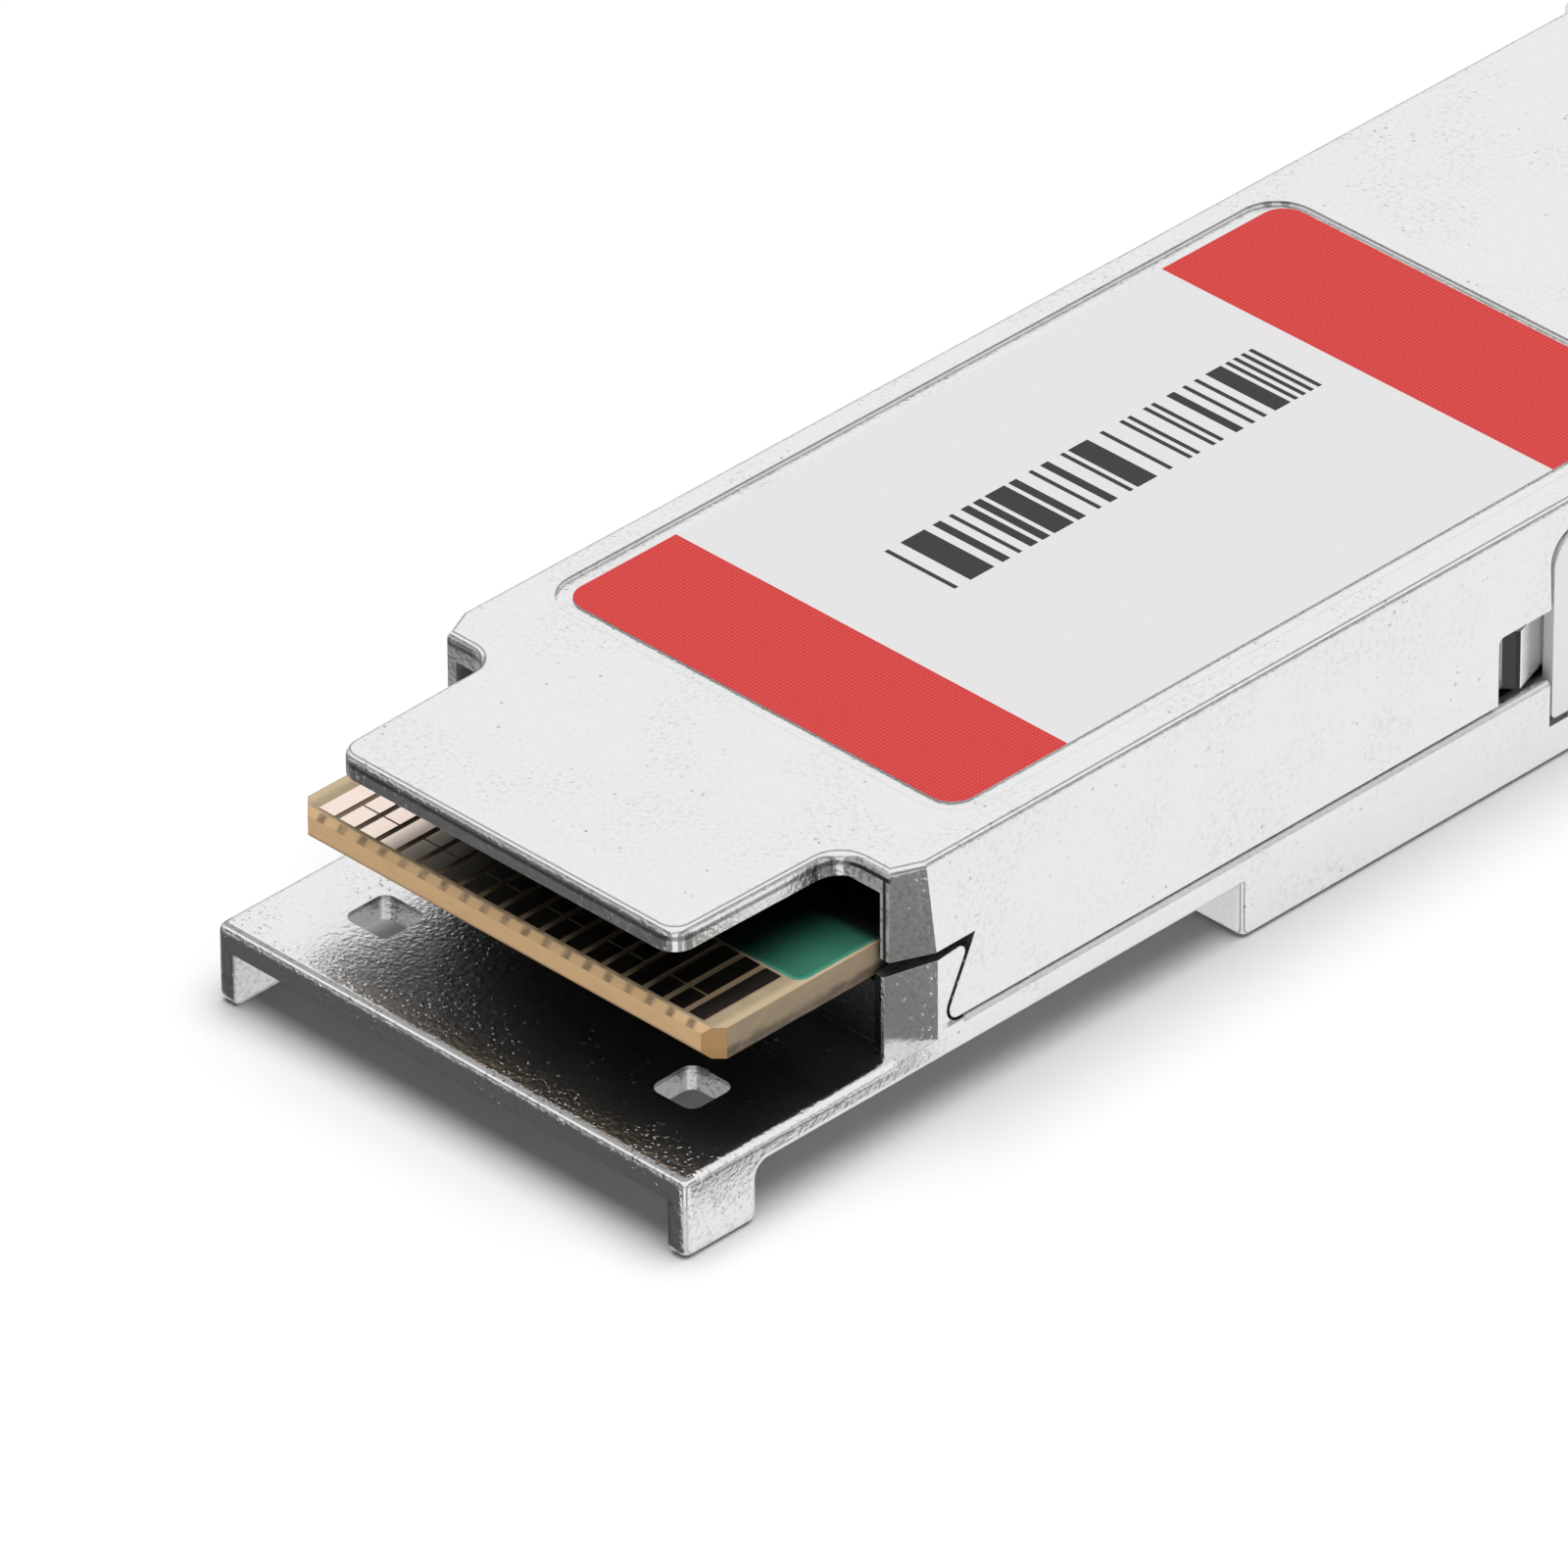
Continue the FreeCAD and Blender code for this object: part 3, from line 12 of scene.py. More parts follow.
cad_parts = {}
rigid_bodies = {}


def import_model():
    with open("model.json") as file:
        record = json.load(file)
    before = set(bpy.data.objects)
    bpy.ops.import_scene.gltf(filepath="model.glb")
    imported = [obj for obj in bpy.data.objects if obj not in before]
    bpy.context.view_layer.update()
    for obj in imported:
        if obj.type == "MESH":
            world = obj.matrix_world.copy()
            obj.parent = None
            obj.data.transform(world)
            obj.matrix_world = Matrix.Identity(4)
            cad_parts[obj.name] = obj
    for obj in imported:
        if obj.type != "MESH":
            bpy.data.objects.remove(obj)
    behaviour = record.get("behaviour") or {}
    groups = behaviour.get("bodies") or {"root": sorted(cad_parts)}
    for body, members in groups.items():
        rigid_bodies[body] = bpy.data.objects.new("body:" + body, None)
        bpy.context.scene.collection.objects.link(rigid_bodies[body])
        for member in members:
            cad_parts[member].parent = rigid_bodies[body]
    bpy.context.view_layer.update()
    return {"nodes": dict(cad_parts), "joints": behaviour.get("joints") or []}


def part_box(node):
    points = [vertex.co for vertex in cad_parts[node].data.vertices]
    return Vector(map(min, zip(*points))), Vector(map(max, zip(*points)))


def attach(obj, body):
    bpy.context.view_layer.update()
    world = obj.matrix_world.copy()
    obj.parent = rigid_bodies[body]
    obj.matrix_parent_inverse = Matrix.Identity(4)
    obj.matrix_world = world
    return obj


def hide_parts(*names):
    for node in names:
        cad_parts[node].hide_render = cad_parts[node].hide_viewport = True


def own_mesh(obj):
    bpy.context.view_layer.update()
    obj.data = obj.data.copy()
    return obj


bl_info = {
    "name": "Optical transceiver finish",
    "version": (1, 0, 0),
    "blender": (4, 5, 0),
    "location": "3D View > Sidebar > Transceiver",
    "description": "Dresses the packed transceiver module and sets its stage",
    "category": "Object",
}

# The start-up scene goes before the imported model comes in.
bpy.ops.object.select_all(action="SELECT")
bpy.ops.object.delete()
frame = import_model()

MM = 0.001
IMAGE_PIXELS = 1600
SENSOR_WIDTH = 36.0
SIDES = ("left", "right")

# Places on the castings in mm. The last word of a name is the direction that is measured: along from the
# card end, level from the table, or inset from the outer sides. A span is (from, to, soft edge).
CASTING_SPANS = {
    "plate_along": (0.5, 8.5, 0.01),
    "plate_level": (1.78, 2.58, 0.02),
    "seam_along": (10.2, 34.5, 0.1),
    "seam_level": (2.775, 2.97, 0.02),
    "seam_and_fillet_level": (2.425, 2.97, 0.02),
    "shoulder_along": (8.42, 8.62, 0.01),
    "nose_line_level": (8.05, 8.19, 0.02),
    "mouth_line_inset": (0.7, 0.82, 0.02),
    "under_card_level": (2.58, 5.2, 0.02),
    "tray_back_along": (6.0, 12.0, 0.05),
    "hook_along": (8.8, 12.0, 0.05),
    "hook_level": (2.4, 5.8, 0.05),
    "holes_along": (1.0, 7.5, 0.1),
    "hole_rim_level": (2.45, 2.57, 0.02),
    "hole_wall_level": (1.78, 2.58, 0.01),
    "latch_along": (32.3, 38.0, 0.02),
    "latch_level": (2.775, 5.3, 0.02),
    "latch_inset": (0.4, 1.1, 0.02),
    "recess_wall_level": (8.42, 8.49, 0.01),
    "throat_along": (8.52, 11.52, 0.02),
    "throat_wall_inset": (0.7, 1.2, 0.02),
}
CASTING_LIMITS = {
    "front_strip_along": 0.5,
    "legs_along": 2.9,
    "nose_root_along": 8.52,
    "nose_line_along": 8.57,
    "recess_along": 11.0,
    "plate_low_level": 1.78,
    "plate_top_level": 2.58,
    "throat_level": 5.9,
    "nose_under_level": 6.5,
    "mouth_top_level": 8.05,
    "hook_face_inset": 0.3,
    "side_wall_inset": 0.6,
    "card_room_inset": 0.7,
    "recess_inset": 0.8,
    "holes_inset": 1.5,
}
TRAY_FADE = (2.58 * MM, 2.78 * MM)
GLINT_FADE = (3.0 * MM, 0.5 * MM)

# The row of bars on the label: along from the label's card end, across from its middle.
BARS_ALONG = (7.9 * MM, 23.15 * MM)
BARS_ACROSS = (-2.83 * MM, -0.08 * MM)
BARS_SHARE = 0.48
PRINT_SOFT = 0.01 * MM
RIM_LIFT = (0, 0, 0.9)

# The card edge: its contacts, its solder mask, and the fades of the board's colours as (from, to).
CONTACT_COUNT = 19
CONTACT_PITCH = 0.8 * MM
TIE_BAR_THICK = 0.012 * MM
TIE_BAR_SHARE = 0.9
STRIP_FADE = (0.06 * MM, 0.2 * MM)
MASK_INSET = 0.12 * MM
MASK_SOFT = 0.05 * MM
MASK_RAGGED = 0.06 * MM
MASK_EDGE = (0.16 * MM, 0.04 * MM)
MASK_SHADE = (2.6 * MM, 0.2 * MM)
FRONT_BOTTOM_FADE = (0.3 * MM, 0.2 * MM)
SIDE_BOTTOM_FADE = (0.25 * MM, 0.48 * MM)
RIM_FADE = (0.15 * MM, 0.42 * MM)
HIDDEN_FADE = (6.1 * MM, 6.6 * MM)

# How often drawn-out noise repeats in a metre, along each axis.
PLIES = (900, 900, 9000)
WEAVE = (2600, 2600, 2600)
BLOTCHES = (1100, 1100, 3000)
WIPE_MARKS = (14000, 900, 900)
TOOL_MARKS = (600, 26000, 600)
ROLL_LINES = (9000, 400, 9000)

SHEARED_LENGTH = 6 * MM
TRACK_PITCH = 0.35 * MM
CAPACITOR_LENGTH = 1.0 * MM
CAPACITOR_END = 0.25 * MM
WIRE_SIDES = 10
COIL_STEPS = 24
COIL_SMOOTH = math.radians(50)

# The stage: the table, the cards that only mirrors see, the lamp, and the fades of the white tent by the
# parts of a ray's direction.
TABLE_SIZE = 3.0
TABLE_DROP = 0.02 * MM
TABLE_MIRRORED = 0.7
FLAG_DROP = 0.01 * MM
FLAG_REACH = 40 * MM
SIDE_FLAG_END = 11.8 * MM
RIGHT_FLAG_START = 2.0 * MM
RIGHT_FLAG_GAP = 2.2 * MM
LEFT_FLAG_GAP = 0.3 * MM
LAMP_FROM = (0.05, 0.07, 1.0)
GAP_FADE = (0.08, 0.26)
FRONT_FADE = (-0.65, -0.1)
FRONT_TOP_FADE = (0.1, 0.35)
SKY_FADE = (0.15, 0.6)


class Wire:
    """An output socket whose arithmetic adds Math nodes to its material."""

    def __init__(self, graph, socket):
        self.graph = graph
        self.socket = socket

    def __add__(self, other):
        return self.graph.math("ADD", self, other)

    def __radd__(self, other):
        return self.graph.math("ADD", other, self)

    def __sub__(self, other):
        return self.graph.math("SUBTRACT", self, other)

    def __rsub__(self, other):
        return self.graph.math("SUBTRACT", other, self)

    def __mul__(self, other):
        return self.graph.math("MULTIPLY", self, other)

    def __rmul__(self, other):
        return self.graph.math("MULTIPLY", other, self)

    def __truediv__(self, other):
        return self.graph.math("DIVIDE", self, other)

    def __rtruediv__(self, other):
        return self.graph.math("DIVIDE", other, self)

    def __gt__(self, other):
        return self.graph.math("GREATER_THAN", self, other)

    def __lt__(self, other):
        return self.graph.math("LESS_THAN", self, other)


class Graph:
    """A node tree that is emptied and then filled node by node."""

    def __init__(self, tree):
        self.tree = tree
        tree.nodes.clear()

    def node(self, kind, settings=None, inputs=None, output=0):
        """Adds a node, sets it up, fills its sockets and returns one of its outputs."""
        node = self.tree.nodes.new(f"ShaderNode{kind}")
        for name, value in (settings or {}).items():
            setattr(node, name, value)
        for key, value in (inputs or {}).items():
            if isinstance(value, Wire):
                self.tree.links.new(value.socket, node.inputs[key])
            else:
                node.inputs[key].default_value = value
        return Wire(self, node.outputs[output]) if node.outputs else None

    def math(self, operation, *values):
        """A Math node on one or more values."""
        return self.node("Math", {"operation": operation}, dict(enumerate(values)))

    def most(self, first, *others):
        """The largest of several values."""
        for other in others:
            first = self.math("MAXIMUM", first, other)
        return first

    def mix(self, factor, first, second):
        """A blend of two colours."""
        first, second = (part if isinstance(part, Wire) else (*part[:3], 1) for part in (first, second))
        return self.node("Mix", {"data_type": "RGBA"}, {0: factor, 6: first, 7: second}, 2)

    def place(self):
        """The object's own coordinates, in metres."""
        return self.node("TexCoord", output="Object")

    def facing(self):
        """The object's own normal."""
        return self.node("TexCoord", output="Normal")

    def axes(self, vector):
        """The three parts of a vector."""
        parts = self.node("SeparateXYZ", inputs={0: vector})
        return [Wire(self, socket) for socket in parts.socket.node.outputs]

    def noise(self, vector, size, detail=2.0):
        """Soft noise whose features have a given size."""
        return self.node("TexNoise", inputs={"Vector": vector, "Scale": 1 / size, "Detail": detail})

    def drawn_noise(self, vector, repeats, detail=2.0):
        """Soft noise that is drawn out: how often it repeats in a metre, along each axis."""
        drawn = self.node("VectorMath", {"operation": "MULTIPLY"}, {0: vector, 1: repeats})
        return self.noise(drawn, 1.0, detail)

    def dots(self, vector, spacing, core, rim):
        """Scattered dots: 1 within the core and 0 past the rim, both in shares of the spacing."""
        distance = self.node("TexVoronoi", inputs={"Vector": vector, "Scale": 1 / spacing})
        return 1 - self.ramp(distance, core, rim)

    def ramp(self, value, low, high):
        """A smooth rise from 0 at low to 1 at high."""
        return self.node("MapRange", {"interpolation_type": "SMOOTHSTEP"},
                         {"Value": value, "From Min": low, "From Max": high})

    def band(self, value, low, high, soft):
        """1 between two places, falling to 0 over a short way outside them."""
        return self.ramp(value, low - soft, low + soft) * (1 - self.ramp(value, high - soft, high + soft))

    def edges(self, radius):
        """A normal that rounds off sharp edges."""
        return self.node("Bevel", {"samples": 6}, {"Radius": radius})

    def bump(self, height, depth, normal=None):
        """A normal that is tilted by a height map."""
        inputs = {"Height": height, "Distance": depth, "Strength": 1.0}
        if normal:
            inputs["Normal"] = normal
        return self.node("Bump", inputs=inputs)

    def surface(self, **inputs):
        """The principled shader on the material's output."""
        sockets = {}
        for name, value in inputs.items():
            socket = name.replace("_", " ").title().replace("Ior", "IOR")
            plain = socket == "Base Color" and not isinstance(value, Wire)
            sockets[socket] = (*value[:3], 1) if plain else value
        shader = self.node("BsdfPrincipled", inputs=sockets)
        self.node("OutputMaterial", inputs={"Surface": shader})


def new_material(name):
    """A named material and its empty graph."""
    material = bpy.data.materials.new(name)
    material.use_nodes = True
    return material, Graph(material.node_tree)


def dress(material, *names):
    """Gives a material to CAD nodes."""
    for name in names:
        slots = frame["nodes"][name].data.materials
        slots.clear()
        slots.append(material)


def dimmed(tone, share):
    """A colour brought down, or up, to a share of itself."""
    return [part * share for part in tone]


def colour(name, description, value):
    """A colour that a user may change."""
    return bpy.props.FloatVectorProperty(name=name, description=description, subtype="COLOR", size=3,
                                         min=0.0, max=1.0, default=value)


def length(name, description, value):
    """A length that a user may change."""
    return bpy.props.FloatProperty(name=name, description=description, unit="LENGTH", default=value,
                                   min=0.0, precision=5)


def factor(name, description, value, top=1.0):
    """A plain number that a user may change."""
    return bpy.props.FloatProperty(name=name, description=description, default=value, min=0.0, max=top)


class CastingSettings(bpy.types.PropertyGroup):
    """Finish of the two plated castings."""
    plating: colour("Plating", "Colour of the nickel plate", (0.84, 0.84, 0.845))
    # Colour of the casting's own pits, also used for painted shade and painted reflections: edge lines,
    # seams, and the holes' walls and rims.
    pit_and_painted_shade_colour: colour("Pits", "Colour in the pits of the casting", (0.22, 0.22, 0.22))
    # Near black painted shade for the latch pockets, the nose's underside, the tray's back wall and the
    # painted lines at the mouth.
    painted_shade: colour("Bare casting", "Colour where the casting stays bare", (0.04, 0.04, 0.04))
    # Pale matt grey, a painted highlight for the stripes mirrored at the mouth's edge.
    worn: colour("Worn edges", "Colour of the worn edges of the mouth", (0.72, 0.72, 0.72))
    roughness: factor("Roughness", "Roughness of the plate", 0.21)
    peel_size: length("Peel size", "Size of the ripples of the cast skin", 0.42 * MM)
    grain_size: length("Grain size", "Size of the fine grain of the cast skin", 0.16 * MM)
    pit_size: length("Pit spacing", "Distance between the pits of the casting", 0.4 * MM)
    relief: length("Relief", "Depth of the ripples and pits", 0.022 * MM)
    edge_break: length("Edge break", "Rounding of the castings' sharp edges", 0.02 * MM)
    leg_round: length("Leg rounding", "Rounding of the corners of the tray's legs", 0.26 * MM)
    hook_round: length("Hook rounding", "Rounding added at the edges of the tray's hooks", 0.025 * MM)
    # Darkness of the painted reflections beside rounded edges.
    edge_line: factor("Edge lines", "Darkness of the lines beside rounded edges", 0.75)
    # Darkness of the painted shade in the seam and at the recess's rim, and of the painted lines along the
    # nose and the hooks.
    seam_line: factor("Seam line", "Darkness of the seam and of the recess's rim", 0.8)


class LabelSettings(bpy.types.PropertyGroup):
    """Print of the label."""
    film: colour("Film", "Colour of the label", (0.765, 0.752, 0.758))
    band: colour("Bands", "Colour of the two end bands", (0.60, 0.046, 0.044))
    dot: colour("Screen dots", "Colour of the printed dots in the bands", (0.80, 0.16, 0.15))
    # Partly painted light: brighter than the film, to lift the shade on the thin cut rim.
    rim: colour("Cut rim", "Colour of the film's cut rim", (0.95, 0.93, 0.93))
    ink: colour("Ink", "Colour of the code bars", (0.03, 0.03, 0.033))
    front_band: length("Front band", "Length of the band at the card end", 4.53 * MM)
    rear_band: length("Rear band", "Length of the band at the port end", 5.05 * MM)
    bar_pitch: length("Bar pitch", "Pitch of the code bars", 0.16 * MM)
    screen_pitch: length("Screen pitch", "Pitch of the printed dots", 0.19 * MM)


class CardSettings(bpy.types.PropertyGroup):
    """Finish of the board and its card edge."""
    laminate: colour("Laminate", "Colour of the bare board", (0.62, 0.425, 0.245))
    # Partly painted light: lighter than the laminate, for a face that the overhead lamp barely reaches.
    front: colour("Sanded front", "Colour of the card's front edge", (1.0, 0.66, 0.335))
    side: colour("Cut sides", "Colour of the board's cut sides", (0.373, 0.289, 0.19))
    # Colour at the bottom of the cut sides, which darken towards the bottom.
    side_low: colour("Lower plies", "Colour of the lowest plies in the cut sides", (0.083, 0.067, 0.053))
    rim: colour("Rim", "Colour of the bare rim along the card's sides", (0.557, 0.436, 0.278))
    margin: colour("Margin", "Colour of the bare margin beside the contacts", (0.376, 0.303, 0.20))
    weave: colour("Glass weave", "Colour of the glass in the bare board", (0.66, 0.52, 0.33))
    rim_weave: colour("Rim weave", "Colour of the glass in the card's rim", (0.60, 0.50, 0.35))
    mask: colour("Solder mask", "Colour of the solder mask", (0.04, 0.182, 0.118))
    shade: colour("Shaded mask", "Colour of the solder mask under the lid", (0.012, 0.05, 0.032))
    # Near black painted shade for the board's lower face and its part inside the housing.
    under: colour("Underside", "Colour of the board's lower face", (0.012, 0.016, 0.013))
    gaps: colour("Contact gaps", "Colour of the board between the contacts", (0.21, 0.16, 0.10))
    # Dark grey painted shade in place of the gold of the lower contacts.
    shaded_lower_gold: colour("Lower contacts", "Colour of the contacts on the lower face", (0.11, 0.104, 0.098))
    gold: colour("Contacts", "Colour of the plated contacts", (0.95, 0.80, 0.71))
    tie_bar: colour("Tie bars", "Colour of the cut plating strips", (0.27, 0.18, 0.10))
    bevel_tone: colour("Bevel", "Colour of the board round the cut plating strips", (0.72, 0.49, 0.275))
    corner: colour("Corners", "Colour of the card's cut corners", (0.66, 0.36, 0.125))
    front_bottom: colour("Lower edge", "Colour along the lower edge of the card's front", (0.40, 0.19, 0.09))
    mask_edge: colour("Mask edge", "Colour of the thin edge of the solder mask", (0.07, 0.29, 0.20))
    mask_start: length("Mask start", "Front edge of the card to the solder mask", 3.42 * MM)
    mask_corner: length("Mask corner", "Rounding of the solder mask's corners", 0.4 * MM)
    tie_bar_width: length("Tie bar width", "Width of the cut plating strips", 0.4 * MM)
    bevel: length("Bevel", "Bevel along the front of the card", 0.2 * MM)


class MovingSettings(bpy.types.PropertyGroup):
    """Finish of the release slide, its springs and the pull tab."""
    sheet: colour("Sheet metal", "Colour of the slide and the collar", (0.80, 0.80, 0.80))
    # Near black painted shade on the front slopes of the latch tips.
    painted_slope_shade: colour("Formed hollows", "Colour of the front slopes of the latch tips", (0.04, 0.04, 0.04))
    # Partly painted light: pale matt cut edges near the latch tips, on narrow faces that lie in shade.
    sheared: colour("Sheared edges", "Colour of the slide's sheared edges", (0.9, 0.9, 0.9))
    plastic: colour("Tab", "Colour of the pull tab", (0.66, 0.61, 0.52))
    wire: length("Spring wire", "Diameter of the springs' wire", 0.15 * MM)
    turns: bpy.props.IntProperty(name="Turns", description="Turns of each spring", default=9, min=2, max=30)


class InnerSettings(bpy.types.PropertyGroup):
    """Finish of the parts inside the housing and the port."""
    epoxy: colour("Chips", "Colour of the chip packages", (0.025, 0.025, 0.028))
    ceramic: colour("Ceramic", "Colour of the sleeves and stubs", (0.86, 0.85, 0.82))
    steel: colour("Steel", "Colour of the turned parts and screws", (0.62, 0.61, 0.60))
    flex: colour("Flexible circuit", "Colour of the flexible circuits", (0.45, 0.19, 0.03))
    tracks: colour("Tracks", "Colour of the copper tracks in the flexible circuits", (0.62, 0.30, 0.10))
    powder: colour("Inductors", "Colour of the pressed inductors", (0.09, 0.09, 0.092))
    fired: colour("Capacitors", "Colour of the capacitors' fired bodies", (0.30, 0.19, 0.10))
    fired_light: colour("Capacitor specks", "Colour of the specks in the fired bodies", (0.38, 0.26, 0.15))
    tin: colour("Tinned ends", "Colour of the capacitors' tinned ends", (0.72, 0.72, 0.7))
    port: colour("Port", "Colour of the moulded port block", (0.03, 0.03, 0.033))
    filler: colour("Gap filler", "Colour of the thermal pad", (0.30, 0.36, 0.45))


class StudioSettings(bpy.types.PropertyGroup):
    """Light and floor."""
    floor: colour("Floor", "Colour of the table", (0.95, 0.95, 0.95))
    lift: factor("Floor lift", "Brightness added to the white table", 0.03)
    mirrored: factor("Mirrored floor", "Brightness of the white table in mirrors", 1.0)
    ambient: factor("Ambient", "Strength of the light from the whole sky", 0.12)
    overhead: factor("Overhead lamp", "Strength of the large soft lamp above the object", 2.95, 20.0)
    spread: bpy.props.FloatProperty(name="Lamp spread", description="Angle that the overhead lamp spans",
                                    subtype="ANGLE", default=math.radians(62), min=0.0, max=math.pi)
    gap: factor("Dark gap", "Darkness of the gap between the table and the white tent", 0.85)
    open_front: factor("Open front", "Darkness of the tent's open front", 0.8)
    front_flag: factor("Front flag", "Brightness of the dark card before the object", 0.1)
    side_flag: factor("Side flags", "Brightness of the grey cards beside the card end", 0.2)


def settings(context, kind):
    """One group of settings of the scene."""
    return getattr(context.scene, f"transceiver_{kind}")


def steepest(g, normal):
    """The largest part of a normal: 1 on a square face, less on a slope or a rounded edge."""
    return g.most(*[g.math("ABSOLUTE", part) for part in g.axes(normal)])


class CastingPlaces:
    """Masks that pick out places on the castings, by where a point lies and which way its surface faces."""

    def __init__(self, g):
        low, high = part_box("bottom_shell")
        x, y, z = g.axes(g.place())
        self.g = g
        self.on_right = x > 0
        self.along = y - low.y
        self.level = z - low.z
        self.inset = high.x - g.math("ABSOLUTE", x)
        self.facing = g.facing()
        across, self.frontwards, self.upwards = g.axes(self.facing)
        self.sideways = g.math("ABSOLUTE", across)
        self.upright = g.math("ABSOLUTE", self.upwards)
        self.faces_front = self.frontwards < -0.8
        self.is_wall = self.upright < 0.5

    def measure(self, name):
        """The direction that the last word of a place's name tells."""
        return getattr(self, name.rsplit("_", 1)[1])

    def within(self, name):
        """1 inside a named span."""
        return self.g.band(self.measure(name), *[part * MM for part in CASTING_SPANS[name]])

    def before(self, name):
        """1 short of a named limit."""
        return self.measure(name) < CASTING_LIMITS[name] * MM

    def beyond(self, name):
        """1 past a named limit."""
        return self.measure(name) > CASTING_LIMITS[name] * MM


def casting_finish(look):
    """Satin nickel on a zinc casting, rippled and finely pitted."""
    material, g = new_material("plated_casting")
    at = CastingPlaces(g)

    # Places.
    legs = at.before("legs_along") * at.before("plate_low_level")
    plain = at.within("plate_along") * at.within("plate_level")
    behind = at.within("seam_along") * at.before("side_wall_inset")
    seam = at.within("seam_level") * behind
    near_seam = at.within("seam_and_fillet_level") * behind
    fillet = (near_seam - seam) * g.ramp(at.upright, 0.15, 0.3) * 0.6
    mouth = at.within("shoulder_along") * at.faces_front * at.on_right * at.beyond("plate_top_level")
    mouth_line = at.within("mouth_line_inset") * at.before("mouth_top_level")
    nose_line = at.before("nose_line_along") * at.within("nose_line_level") * at.is_wall
    nose_under = at.before("nose_root_along") * (at.upwards < -0.5) * at.beyond("nose_under_level")
    under_card = at.within("under_card_level") * at.beyond("card_room_inset")
    tray_back = under_card * at.within("tray_back_along") * at.faces_front
    hook = at.within("hook_along") * at.within("hook_level")
    hook_face = hook * (at.sideways > 0.97) * at.before("hook_face_inset")
    # Painted shade: the walls and rims of the plate's holes are darkened.
    holes = at.within("holes_along") * at.beyond("holes_inset") * at.is_wall
    hole_rims = holes * at.within("hole_rim_level")
    hole_walls = holes * at.within("hole_wall_level") * g.ramp(steepest(g, at.facing), 0.85, 0.97)
    latch_pocket = at.within("latch_along") * at.within("latch_level") * at.within("latch_inset")
    recess_wall = at.within("recess_wall_level") * (at.upright < 0.6)
    recess_rim = recess_wall * at.beyond("recess_inset") * at.beyond("recess_along")
    throat_wall = at.within("throat_wall_inset") * (at.sideways > 0.7)
    throat = throat_wall * at.within("throat_along") * at.beyond("throat_level")
    front_strip = at.before("front_strip_along") * at.beyond("plate_low_level") * at.before("plate_top_level")

    # The cast skin and its relief.
    place = g.place()
    peel = g.noise(place, look.peel_size)
    grain = g.noise(place, look.grain_size, 3.0)
    tone = g.noise(place, 8 * look.pit_size)
    patches = g.ramp(g.noise(place, 5 * look.pit_size), 0.5, 0.65)
    pits = g.dots(place, look.pit_size, 0.07, 0.17) * patches
    specks = g.dots(place, 0.6 * look.pit_size, 0.1, 0.3) * g.ramp(tone, 0.4, 0.6)
    tray = 1 - g.ramp(at.level, *TRAY_FADE)
    front_grain = g.ramp(at.frontwards, -0.5, -0.8)
    near_front = tray * g.ramp(at.along, *GLINT_FADE) * (1 - front_grain)
    glints = g.dots(place, 0.45 * look.pit_size, 0.08, 0.26) * g.ramp(tone, 0.38, 0.62) * near_front
    coarseness = 0.75 + tray * 0.25 + front_grain * 0.8
    height = (peel * 0.6 + grain + specks * 0.5 + glints) * coarseness - pits * 0.35
    rounding = look.edge_break + legs * (look.leg_round - look.edge_break) + hook_face * look.hook_round
    rounded = g.edges(rounding)
    slope = steepest(g, rounded)

    # Painted dark lines and painted shade, with the casting's own cavities and pits.
    # Painted reflections: dark lines beside rounded edges and along the top edge of the plate's front strip
    # stand in for the tent's dark gap mirrored in them.
    strip_line = g.band(g.axes(rounded)[2], 0.8, 0.98, 0.01) * front_strip
    edge_reflection_lines = g.most(g.band(slope, 0.78, 0.88, 0.02), strip_line)
    lines = edge_reflection_lines * (1 - g.most(plain, near_seam)) * look.edge_line
    coarse = g.most(g.band(slope, 0.9, 0.93, 0.006), legs)
    cavities = g.ramp(grain, 0.54, 0.3) * (0.05 + g.ramp(tone, 0.42, 0.62) * 0.09 + coarse * 0.2)
    # Painted shade in the seam between the shells and at the label recess's rim, and painted reflections as
    # dark lines along the nose and the hooks' edges.
    hook_lines = hook_face * g.ramp(slope, 0.97, 0.93) * 0.9
    seams = g.most(seam, recess_rim, nose_line, hook_lines) * look.seam_line
    # The pits and cavities are the casting's own; the edge lines, seams and darkened hole walls and rims
    # added here are painted shade and painted reflection.
    pits_and_painted_shade = cavities + pits * 0.45 + lines + seams + hole_walls * 0.65 + hole_rims * 0.5
    plated = g.mix(g.math("MINIMUM", pits_and_painted_shade, 1.0), look.plating, look.pit_and_painted_shade_colour)
    # Painted highlights at the mouth: a pale matt grey with painted dark lines stands in for the bright and
    # dark stripes mirrored in its rounded edge; the pits in it are the casting's own.
    pitted = g.mix(g.ramp(grain, 0.52, 0.34) * 0.7, look.worn, look.pit_and_painted_shade_colour)
    lined = g.mix(g.most(nose_line, mouth_line), pitted, look.painted_shade)
    # Painted shade: the latch pockets, the nose's underside and the tray's back wall under the card are
    # painted near black for the shade inside them.
    bare = g.most(latch_pocket, nose_under, tray_back)
    g.surface(
        base_color=g.mix(bare, g.mix(mouth, plated, lined), look.painted_shade),
        roughness=look.roughness + tone * 0.08 + pits * 0.15,
        metallic=1 - g.most(fillet, throat, mouth),
        normal=g.bump(height, look.relief, rounded))
    return material


class TRANSCEIVER_OT_plate_castings(bpy.types.Operator):
    """Plate the tray and the lid"""
    bl_idname = "transceiver.plate_castings"
    bl_label = "Plate castings"

    def execute(self, context):
        dress(casting_finish(settings(context, "casting")), "bottom_shell", "top_shell")
        return {"FINISHED"}


